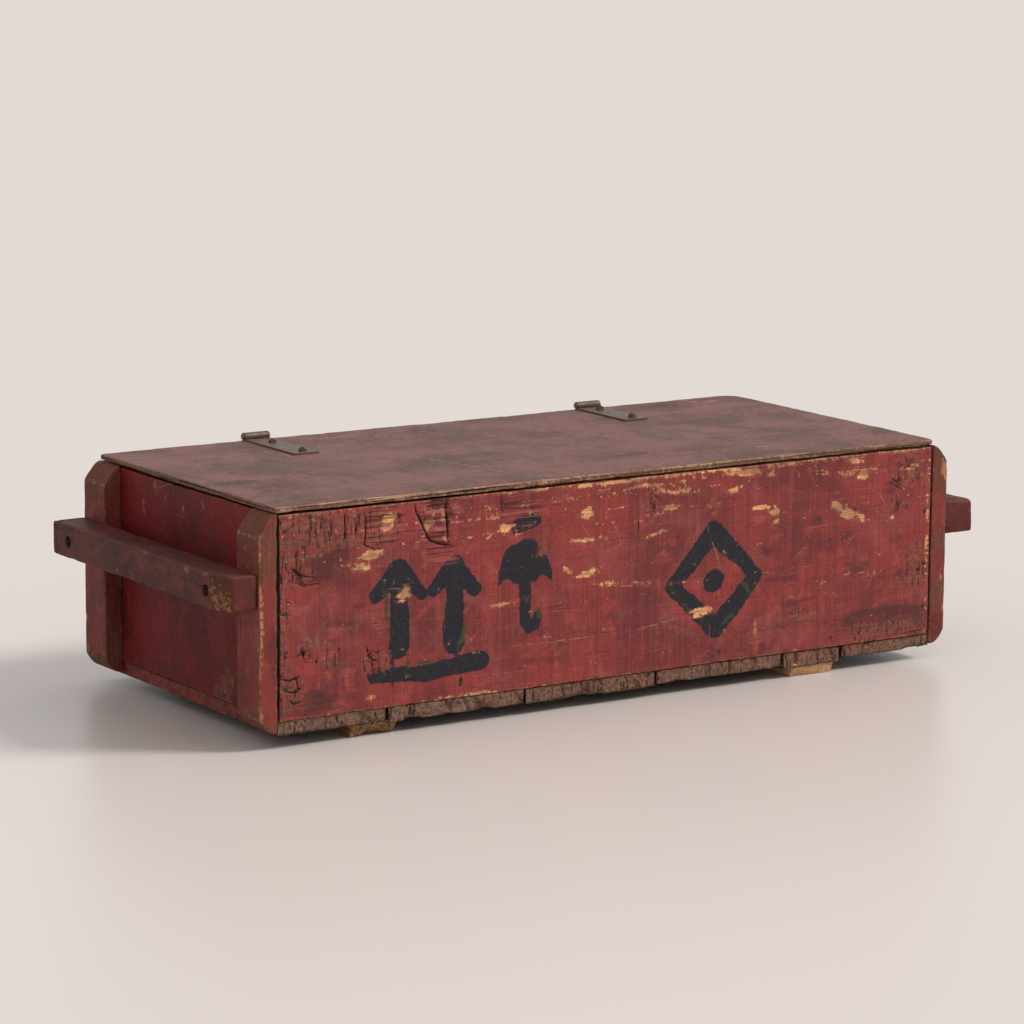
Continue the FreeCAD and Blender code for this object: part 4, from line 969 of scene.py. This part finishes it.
def age(board, face, seed, along, cracks=6, scratches=8, chips=8, chip_size=9.0, raws=3, raw_size=40.0,
        stains=6, extra_chips=(), extra_raw=(), extra_scratches=()):
    """Give a board scattered wear on the two faces that the given axes span."""
    a, b = face
    u, v = board.base[:, a], board.base[:, b]
    low = board.low[[a, b]]
    high = board.high[[a, b]]
    facing = np.abs(board.normal[:, 3 - a - b]) > 0.3
    ragged = 4.0 * rough_noise(board.base, (14.0, 14.0, 14.0), seed)
    upright = along == (0, 1)
    chip = blobs(u, v, scatter(seed, low, high, chips, chip_size, 0.4, upright) + list(extra_chips), ragged)
    chip = np.where(facing, chip, -FIELD_REACH)
    raw = fade(blobs(u, v, scatter(seed + 1, low, high, raws, raw_size, 0.5, upright) + list(extra_raw),
                     ragged * 1.5), -8.0, 6.0)
    stain = blobs(u, v, scatter(seed + 2, low, high, stains, 40.0, 0.5, upright), ragged * 2)
    crack_paths, scratch_paths = random_marks(seed + 3, low, high, along, cracks, scratches)
    crack, crack_width = line_fields(u, v, crack_paths)
    scratch, scratch_width = line_fields(u, v, scratch_paths + list(extra_scratches))
    board.paint(chip=stored(chip), raw=raw, stain=fade(stain, -8.0, 8.0) * 0.6, crack=crack,
                crack_width=np.where(facing, crack_width, -1.0), scratch=scratch,
                scratch_width=np.where(facing, scratch_width, -1.0))
    board.wear(0.5 * fade(chip, -2.0, 3.0))


def make_back_panel():
    board = Board("back_panel", (5.0, 5.0, 5.0), flat=(1, 0))
    age(board, (0, 2), 101, (1, 0), cracks=16, scratches=24, chips=56, chip_size=20.0, raws=6,
        raw_size=55.0, stains=18)
    board.bow(6, 1, wear_size("warp"))
    board.nibble(102, 1.8, 7.0)
    lower_top(board, 1.6, 103)
    board.piece("back_panel_board", finish("wall_paint", "inside_wood"), "crate", "red_paint")


def make_end_panels():
    for seed, side, inner in ((111, "left", 1), (121, "right", 0)):
        board = Board(f"{side}_end_panel", 4.0, flat=(0, inner))
        age(board, (1, 2), seed, (0, 1), cracks=9, scratches=10, chips=14, chip_size=7.0, raws=5, stains=10)
        board.bow(seed, 0, wear_size("warp"))
        board.nibble(seed + 1)
        lower_top(board, 4.2, seed + 2)
        board.piece(f"{side}_end_board", finish("end_paint", "inside_end_wood"), "crate", "end_paint")


def slope_batten(board, side, drop, lift=22.0):
    """Cut the batten's top and foot to curved slopes by sliding its points up or down."""
    low, high = board.low, board.high
    inner = high[0] if side == "left" else low[0]
    thick = high[0] - low[0]
    out = np.clip(np.abs(board.points[:, 0] - inner) / thick, 0.0, 1.0)
    share = (board.points[:, 2] - low[2]) / (high[2] - low[2])
    upper = np.clip((share - 0.6) / 0.4, 0.0, 1.0)
    lower = np.clip((0.4 - share) / 0.4, 0.0, 1.0)
    board.points[:, 2] += lift * out ** 2.6 * lower - drop * out ** 1.7 * upper


def make_battens():
    for seed, side, row, drop in ((131, "left", "front", 33.0), (141, "left", "rear", 28.0),
                                  (151, "right", "front", 27.0), (161, "right", "rear", 30.0)):
        board = Board(f"{side}_{row}_batten", 2.4, round_radius=2.2)
        top = board.high[2]
        y = (board.low[1] + board.high[1]) / 2
        edge_y = board.low[1]
        worn_spots = [(y, top, 60, 34, 0), (y, board.low[2], 50, 12, 0)]
        if side == "right":
            worn_spots += [(edge_y, top - 44, 12, 30, 0), (edge_y, top - 150, 10, 24, 0),
                           (edge_y, top - 235, 12, 34, 0)]
        age(board, (1, 2), seed, (0, 1), cracks=3, scratches=4, chips=5, chip_size=7.0, raws=1, stains=3,
            extra_raw=worn_spots)
        board.nibble(seed + 5, 2.4, 8.0, (10.0, 10.0, 26.0))
        if side == "right":
            patchy = rough_noise(board.base, (14.0, 14.0, 30.0), seed + 6)
            away = board.high[0] - board.base[:, 0] + 0.4 * (board.base[:, 1] - edge_y)
            spots = np.where(patchy > 0.1, stored(3.0 + 7.0 * patchy - 0.5 * away), 0.0)
            board.raise_field("chip", spots)
        if (side, row) == ("left", "front"):
            away = np.hypot(board.base[:, 0] - board.low[0], board.base[:, 1] - board.low[1])
            patchy = rough_noise(board.base, (12.0, 12.0, 55.0), seed + 6)
            worn_edge = stored(2.2 + 3.4 * patchy - away)
            board.raise_field("chip", worn_edge)
        slope_batten(board, side, drop)
        board.piece(f"{side}_{row}_upright", finish("batten_paint"), "crate", "batten_paint")


def cut_front_corner(board, length=41.0, depth=14.0):
    """Cut the outer front corner of the left bar by sliding its points along it."""
    out = board.high[0] - board.points[:, 0]
    thick = board.high[0] - board.low[0]
    part = np.clip((out - thick + depth) / depth, 0.0, 1.0)
    cut = length * (0.6 * part + 0.4 * (1.0 - np.sqrt(1.0 - part ** 2)))
    share = np.clip(1.0 - (board.points[:, 1] - board.low[1]) / (1.05 * length), 0.0, 1.0)
    board.points[:, 1] += cut * share


def make_handles():
    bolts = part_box("handle_bolts")
    for seed, side in ((171, "left"), (181, "right")):
        low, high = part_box(f"{side}_handle")
        middle_z = (low.z + high.z) / 2 / MM
        holes = [(bolts[0].y / MM + 5.5, middle_z), (bolts[1].y / MM - 5.5, middle_z)]
        dense_y = [(y - 11, y + 11, 1.1) for y, z in holes]
        dense_z = ((middle_z - 10, middle_z + 10, 1.1),)
        board = Board(f"{side}_handle", (3.0, 3.0, 2.0), dense=((), dense_y, dense_z), round_radius=6.0)
        ends = [(board.low[1] + 22, middle_z, 20, 34, 0), (board.high[1] - 8, middle_z, 12, 40, 0)]
        age(board, (1, 2), seed, (1, 0), cracks=5, scratches=8, chips=4, chip_size=7.0, raws=2,
            raw_size=24.0, stains=4, extra_raw=ends)
        board.wear(0.8 * (0.5 + 0.5 * lattice_noise(board.base, (60.0, 90.0, 60.0), seed)))
        board.nibble(seed + 3, 2.6, 9.0, (16.0, 22.0, 16.0))
        outward = -1.0 if side == "left" else 1.0
        for y, z in holes:
            away = np.hypot(board.base[:, 1] - y, board.base[:, 2] - z)
            sunk = fade(away, 8.6, 7.4) * fade(board.normal[:, 0] * outward, 0.2, 0.8)
            board.wear(13.0 * sunk)
            board.raise_field("stain", fade(away, 13.0, 8.0))
        if side == "left":
            out = board.high[0] - board.base[:, 0]
            facet = fade(out, 37.0, 43.0) * fade(board.base[:, 1], board.low[1] + 3.0, board.low[1])
            facet = np.maximum(facet, fade(board.base[:, 1], board.low[1] + 46.0, board.low[1] + 30.0)
                               * fade(out, 50.0, 54.0))
            patchy = rough_noise(board.base, (9.0, 9.0, 12.0), seed + 7)
            board.raise_field("raw", facet)
            board.raise_field("chip", stored(facet * 6.0 - 7.0 + 6.0 * patchy))
            cut_front_corner(board)
        board.piece(f"{side}_handle_bar", finish("handle_paint"), "crate", "handle_wood")


def make_lid():
    board = Board("lid_panel", (4.6, 4.6, 2.2), flat=(2, 0), round_radius=2.9)
    v = board.base[:, 1]
    left, front = board.low[0], board.low[1]
    long_scratches = ((1.8, left + 370, front + 365, left + 400, front + 230, left + 430, front + 95,
                       left + 436, front + 30),
                      (0.7, left + 1010, front + 300, left + 990, front + 235),
                      (0.6, left + 250, front + 262, left + 244, front + 240))
    age(board, (0, 1), 191, (1, 0), cracks=8, scratches=26, chips=18, chip_size=9.0, raws=14,
        raw_size=60.0, stains=22, extra_scratches=long_scratches)
    uneven = 0.55 + 0.5 * rough_noise(board.base, (60.0, 14.0, 14.0), 197)
    strip = fade(v, front + 46.0, front + 3.0) * uneven
    side = fade(1.0 - np.abs(board.normal[:, 2]), 0.25, 0.6) * 0.9
    board.fields["raw"] = np.maximum(board.fields["raw"] * 0.6, np.maximum(strip, side))
    patchy = rough_noise(board.base, (40.0, 30.0, 8.0), 198)
    rim = stored(1.5 + 3.6 * patchy - board.edge * 0.8)
    board.raise_field("chip", np.where(v < front + 12.0, rim, 0.0))
    for along, across in ((0, 1), (1, 0)):
        lid_edge_cracks(board, along, across)
    board.bow(7, 2, 0.8)
    edge_reach = fade(rough_noise(board.base, (34.0, 34.0, 34.0), 195), -0.4, 0.9)
    board.wear(1.1 * edge_reach * fade(board.edge, 9.0, 0.0))
    board.nibble(196, 1.3, 5.0, (9.0, 9.0, 9.0))
    round_corners(board, ((8.0, 5.0), (9.0, 18.0)))
    board.piece("lid_sheet", finish("lid_paint", "inside_wood"), "lid", "lid_paint")


def lid_edge_cracks(board, along, across):
    """Long dark splits between the layers of the lid, on the two edges that run along an axis."""
    rng = np.random.default_rng(390 + along)
    facing = np.abs(board.normal[:, across]) > 0.45
    low, high = board.low, board.high
    paths = []
    place = low[along]
    while place < high[along]:
        run = rng.uniform(30.0, 170.0)
        height = rng.uniform(low[2] + 1.6, high[2] - 2.4)
        paths.append((rng.uniform(0.5, 1.0), place, height, place + run, height + rng.uniform(-1.2, 1.2)))
        place += run * rng.uniform(0.45, 1.1)
    crack, width = line_fields(board.base[:, along], board.base[:, 2], paths)
    board.fields["crack"] = np.where(facing, crack, board.fields["crack"])
    board.fields["crack_width"] = np.where(facing, width, board.fields["crack_width"])


def round_corners(board, radii):
    """Round the four upright corners of a board in plan: radii for left (front, back) and right."""
    for corner in ((0, 0), (0, 1), (1, 0), (1, 1)):
        radius = radii[corner[0]][corner[1]]
        limit = [board.high[a] if corner[a] else board.low[a] for a in (0, 1)]
        sign = [1.0 if corner[a] else -1.0 for a in (0, 1)]
        out = [np.maximum((board.points[:, a] - limit[a]) * sign[a] + radius, 0.0) for a in (0, 1)]
        size = np.hypot(*out)
        scale = np.where(size > 0, np.maximum(*out) / np.maximum(size, 1e-9), 1.0)
        both = (out[0] > 0) & (out[1] > 0)
        for a in (0, 1):
            moved = limit[a] + sign[a] * (out[a] * scale - radius)
            board.points[:, a] = np.where(both, moved, board.points[:, a])


# How far each bottom board's front end hangs below the others, in millimetres.
PLANK_DROPS = (1.0, 3.2, 4.6, 1.8, 5.5, 0.6)


def make_bottom_boards():
    for number, drop in enumerate(PLANK_DROPS, 1):
        node = f"bottom_board_{number}"
        rng = np.random.default_rng(200 + number)
        board = Board(node, (1.9, 7.0, 1.5), flat=(2, 1), round_radius=1.8)
        low, high = board.low, board.high
        flat = board.base * np.array((1.0, 0.0, 1.0))
        ends = fade(np.abs(board.normal[:, 1]), 0.3, 0.9)
        under = fade(-board.normal[:, 2], 0.3, 0.9)
        lower = fade(board.base[:, 2], low[2] + 12.0, low[2])
        torn = fade(rough_noise(flat, (24.0, 1.0, 60.0), 210 + number), 0.0, 0.9)
        board.wear(ends * (0.4 + rng.uniform(0.0, 2.2) + 1.5 * torn))
        bite = fade(rough_noise(flat, (30.0, 1.0, 90.0), 230 + number, 4), -0.1, 0.8)
        board.wear(ends * lower * 3.0 * bite)
        fissure = fade(np.abs(rough_noise(flat, (17.0, 1.0, 90.0), 250 + number, 2)), 0.07, 0.0)
        board.wear(ends * fissure * 3.0)
        board.wear(fade(np.abs(board.normal[:, 0]), 0.3, 0.9) * (0.9 + rng.uniform(0.2, 1.5)))
        board.nibble(260 + number, 2.2, 6.0, (9.0, 9.0, 9.0))
        near_end = fade(board.base[:, 1], low[1] + 30.0, low[1] + 4.0)
        near_end = np.maximum(near_end, fade(board.base[:, 1], high[1] - 30.0, high[1] - 4.0))
        sag = (drop - 4.5 * bite) * near_end * fade(board.base[:, 2], high[2] - 6.0, low[2])
        board.points[:, 2] -= sag
        crack, crack_width = line_fields(board.base[:, 0], board.base[:, 2], plank_cracks(low, high, rng))
        crack_width = np.where(ends > 0.5, crack_width, -1.0)
        # The sides where planks meet are drawn as one wide dark crack line: painted shade in the gaps
        # between the planks.
        between = np.abs(board.normal[:, 0]) > 0.75
        if number == 1:
            between &= board.base[:, 0] > (low[0] + high[0]) / 2
        if number == len(PLANK_DROPS):
            between &= board.base[:, 0] < (low[0] + high[0]) / 2
        # The stain field takes the underside: painted shade under the planks.
        board.paint(crack=np.where(between, 0.0, crack), crack_width=np.where(between, 4.0, crack_width),
                    stain=under)
        painted = (0, -1) if number == 1 else (0, 1) if number == len(PLANK_DROPS) else None
        finishes = finish("plank_wood_and_shade", "inside_plank_wood_and_shade", "end_paint")
        board.piece(f"bottom_plank_{number}", finishes, "crate", "floor_wood", painted)


def plank_cracks(low, high, rng):
    """Upright splits in the end of a plank."""
    paths = []
    for _ in range(int((high[0] - low[0]) / 40.0)):
        x = rng.uniform(low[0] + 4, high[0] - 4)
        start = rng.choice((low[2] - 8, low[2] + 6))
        top = rng.uniform(start + 10, high[2] + 4)
        paths.append((rng.uniform(0.25, 0.9), x, start, x + rng.uniform(-3, 3), top))
    return paths


def make_runners():
    for seed, side, cut, reach in ((301, "left", 9.0, 60.0), (311, "right", 3.0, 10.0)):
        board = Board(f"{side}_runner", (2.2, 4.0, 1.8), round_radius=6.0 if side == "right" else 3.5)
        low, high = board.low, board.high
        board.wear(0.9 * fade(rough_noise(board.base, (20.0, 40.0, 20.0), seed), -0.2, 0.9)
                   * fade(board.normal[:, 2], -0.9, -0.5))
        depth = (high[2] - board.points[:, 2]) / (high[2] - low[2])
        flat = board.base * np.array((1.0, 0.0, 1.0))
        uneven = 0.8 + 0.4 * rough_noise(flat, (26.0, 1.0, 12.0), seed + 2)
        for end, way in ((low[1], 1.0), (high[1], -1.0)):
            near = fade(np.abs(board.base[:, 1] - end), reach * 1.5, 0.0)
            board.points[:, 1] += way * near * depth ** 1.5 * cut * 2.4 * uneven
        board.nibble(seed + 4, 3.0, 8.0)
        board.piece(f"{side}_skid", finish(f"{side}_runner_wood"), "crate", "runner_wood")


# ---------------------------------------------------------------- nails, bolts and hinges

NAIL_SIDES = (
    ("front_panel_nails", 1, -1), ("back_panel_nails", 1, 1), ("bottom_board_nails", 2, -1),
    ("runner_nails", 2, 1),
)


HEAD_HEIGHT = 0.75


def nail_head(spot, axis, way, seed):
    """Points and faces of one worn nail head, a low dome with an uneven rim."""
    rng = np.random.default_rng(seed)
    count = 16
    rings = ((3.2, -1.2), (3.25, 0.15), (2.7, 0.5), (1.3, HEAD_HEIGHT))
    turns = np.arange(count) * 2 * math.pi / count
    uneven = 1.0 + 0.07 * np.sin(turns * 2 + rng.uniform(0, 6))
    uneven = uneven + 0.05 * np.sin(turns * 3 + rng.uniform(0, 6))
    one, two = [number for number in range(3) if number != axis]
    tilt = rng.uniform(-0.05, 0.05, 2)
    points = []
    for radius, height in rings:
        for turn, share in zip(turns, uneven):
            point = np.array(spot, float)
            a, b = radius * share * math.cos(turn), radius * share * math.sin(turn)
            point[one] += a
            point[two] += b
            point[axis] += way * (height + tilt[0] * a + tilt[1] * b)
            points.append(point)
    faces = [(k * count + n, k * count + (n + 1) % count, (k + 1) * count + (n + 1) % count,
              (k + 1) * count + n) for k in range(len(rings) - 1) for n in range(count)]
    faces += [tuple(range((len(rings) - 1) * count, len(rings) * count)), tuple(range(count - 1, -1, -1))]
    if (way > 0) == (axis == 1):
        faces = [face[::-1] for face in faces]
    return points, faces


def make_nails():
    """Nail heads that sit in small dents of the boards they hold."""
    dome = wear_size("nail_dome")
    for node, axis, way in NAIL_SIDES:
        points, faces = [], []
        for number, spot in enumerate(nail_spots(node, axis, way)):
            spot[axis] += way * (dome - HEAD_HEIGHT)
            new_points, new_faces = nail_head(spot, axis, way, 400 + number)
            faces += [tuple(len(points) + n for n in face) for face in new_faces]
            points += new_points
        mesh = bpy.data.meshes.new(node + "_heads")
        mesh.from_pydata((np.array(points) * MM).tolist(), [], faces)
        mesh.materials.append(*finish("nail_iron"))
        place(mesh, node + "_heads", "crate", "nail_iron", node)
    dress_nodes(["batten_nails"], "nail_iron")


def dress_nodes(nodes, material):
    """Give CAD nodes a finish."""
    for node in nodes:
        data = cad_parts[node].data
        data.materials.clear()
        data.materials.append(*finish(material))


def make_hinges():
    for side in ("left", "right"):
        dress_nodes([f"{side}_hinge_{part}" for part in ("strap", "back_leaf", "pin")], "hinge_iron")


def make_fasteners():
    dress_nodes(("hinge_strap_bolts", "hinge_strap_nuts", "hinge_strap_washers", "hinge_leaf_bolts",
                 "hinge_leaf_nuts", "handle_bolts", "handle_nuts", "handle_washers"), "bolt_iron")


# ---------------------------------------------------------------- the stage

def make_stage():
    """A pale floor with a soft gloss, soft light from the right, and the camera."""
    scene = bpy.context.scene
    stage = scene.crate_stage
    n, shader = start_material("floor_finish")
    n.feed(shader, {"Base Color": stage.floor, "Roughness": 0.32})
    mesh = bpy.data.meshes.new("floor")
    reach = 30.0
    mesh.from_pydata([(-reach, -reach, 0), (reach, -reach, 0), (reach, reach, 0), (-reach, reach, 0)], [],
                     [(0, 1, 2, 3)])
    mesh.materials.append(bpy.data.materials["floor_finish"])
    floor = bpy.data.objects.new("floor", mesh)
    scene.collection.objects.link(floor)

    light = bpy.data.lights.new("key", "SUN")
    light.energy = stage.key_strength
    light.angle = math.radians(16.0)
    light.color = (1.0, 0.97, 0.94)
    key = bpy.data.objects.new("key", light)
    scene.collection.objects.link(key)
    towards = Vector((0.80, -0.52, 0.78))
    key.rotation_euler = towards.to_track_quat("Z", "Y").to_euler()

    world = bpy.data.worlds.new("room")
    world.use_nodes = True
    background = world.node_tree.nodes["Background"]
    background.inputs[0].default_value = (1.0, 0.985, 0.98, 1.0)
    background.inputs[1].default_value = stage.sky_strength
    scene.world = world
    scene.view_settings.view_transform = "Standard"

    camera = bpy.data.cameras.new("camera")
    camera.lens = stage.camera_lens
    camera.clip_end = 200.0
    view = bpy.data.objects.new("camera", camera)
    scene.collection.objects.link(view)
    forward = Vector((math.sin(stage.camera_yaw) * math.cos(stage.camera_dip),
                      math.cos(stage.camera_yaw) * math.cos(stage.camera_dip), -math.sin(stage.camera_dip)))
    right = Vector((math.cos(stage.camera_yaw), -math.sin(stage.camera_yaw), 0.0))
    up = right.cross(forward)
    turn = stage.camera_roll
    across = right * math.cos(turn) + up * math.sin(turn)
    upward = up * math.cos(turn) - right * math.sin(turn)
    axes = Matrix((across, upward, -forward)).transposed()
    view.matrix_world = Matrix.Translation(stage.camera_place) @ axes.to_4x4()
    scene.camera = view


# ---------------------------------------------------------------- operators and panel

class CRATE_OT_finishes(bpy.types.Operator):
    """Make the paint, wood and iron finishes"""
    bl_idname = "crate.finishes"
    bl_label = "Finishes"

    def execute(self, context):
        make_materials()
        return {"FINISHED"}


class CRATE_OT_front_panel(bpy.types.Operator):
    """Build the worn front panel with its brushed marks"""
    bl_idname = "crate.front_panel"
    bl_label = "Front panel"

    def execute(self, context):
        make_front_panel()
        return {"FINISHED"}


class CRATE_OT_back_panel(bpy.types.Operator):
    """Build the back panel"""
    bl_idname = "crate.back_panel"
    bl_label = "Back panel"

    def execute(self, context):
        make_back_panel()
        return {"FINISHED"}


class CRATE_OT_end_panels(bpy.types.Operator):
    """Build the two end panels"""
    bl_idname = "crate.end_panels"
    bl_label = "End panels"

    def execute(self, context):
        make_end_panels()
        return {"FINISHED"}


class CRATE_OT_battens(bpy.types.Operator):
    """Build the four upright battens"""
    bl_idname = "crate.battens"
    bl_label = "Battens"

    def execute(self, context):
        make_battens()
        return {"FINISHED"}


class CRATE_OT_handles(bpy.types.Operator):
    """Build the two handle bars"""
    bl_idname = "crate.handles"
    bl_label = "Handles"

    def execute(self, context):
        make_handles()
        return {"FINISHED"}


class CRATE_OT_lid(bpy.types.Operator):
    """Build the lid sheet"""
    bl_idname = "crate.lid"
    bl_label = "Lid"

    def execute(self, context):
        make_lid()
        return {"FINISHED"}


class CRATE_OT_bottom_boards(bpy.types.Operator):
    """Build the floor planks"""
    bl_idname = "crate.bottom_boards"
    bl_label = "Bottom boards"

    def execute(self, context):
        make_bottom_boards()
        return {"FINISHED"}


class CRATE_OT_runners(bpy.types.Operator):
    """Build the two runners"""
    bl_idname = "crate.runners"
    bl_label = "Runners"

    def execute(self, context):
        make_runners()
        return {"FINISHED"}


class CRATE_OT_nails(bpy.types.Operator):
    """Build the nail heads"""
    bl_idname = "crate.nails"
    bl_label = "Nails"

    def execute(self, context):
        make_nails()
        return {"FINISHED"}


class CRATE_OT_hinges(bpy.types.Operator):
    """Finish the hinge leaves and pins"""
    bl_idname = "crate.hinges"
    bl_label = "Hinges"

    def execute(self, context):
        make_hinges()
        return {"FINISHED"}


class CRATE_OT_fasteners(bpy.types.Operator):
    """Finish the bolts, nuts and washers"""
    bl_idname = "crate.fasteners"
    bl_label = "Bolts and nuts"

    def execute(self, context):
        make_fasteners()
        return {"FINISHED"}


class CRATE_OT_stage(bpy.types.Operator):
    """Build the floor, the light and the camera"""
    bl_idname = "crate.stage"
    bl_label = "Stage"

    def execute(self, context):
        make_stage()
        return {"FINISHED"}


OPERATORS = (
    CRATE_OT_finishes,
    CRATE_OT_front_panel,
    CRATE_OT_back_panel,
    CRATE_OT_end_panels,
    CRATE_OT_battens,
    CRATE_OT_handles,
    CRATE_OT_lid,
    CRATE_OT_bottom_boards,
    CRATE_OT_runners,
    CRATE_OT_nails,
    CRATE_OT_hinges,
    CRATE_OT_fasteners,
    CRATE_OT_stage,
)


class CRATE_PT_builder(bpy.types.Panel):
    """Lists the crate's building steps."""
    bl_label = "Crate"
    bl_space_type = "VIEW_3D"
    bl_region_type = "UI"
    bl_category = "Crate"

    def draw(self, context):
        column = self.layout.column(align=True)
        for step in OPERATORS:
            column.operator(step.bl_idname)
        for group in (context.scene.crate_paint, context.scene.crate_wear, context.scene.crate_stage):
            for name in group.bl_rna.properties.keys():
                if name not in ("rna_type", "name"):
                    self.layout.prop(group, name)


CLASSES = (CratePaint, CrateWear, CrateStage) + OPERATORS + (CRATE_PT_builder,)


def register():
    for item in CLASSES:
        bpy.utils.register_class(item)
    bpy.types.Scene.crate_paint = PointerProperty(type=CratePaint)
    bpy.types.Scene.crate_wear = PointerProperty(type=CrateWear)
    bpy.types.Scene.crate_stage = PointerProperty(type=CrateStage)


def unregister():
    del bpy.types.Scene.crate_paint
    del bpy.types.Scene.crate_wear
    del bpy.types.Scene.crate_stage
    for item in reversed(CLASSES):
        bpy.utils.unregister_class(item)


def main():
    register()
    for step in OPERATORS:
        getattr(bpy.ops.crate, step.bl_idname.split(".")[1])()
    bpy.context.view_layer.update()
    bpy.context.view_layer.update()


if __name__ == "__main__":
    main()
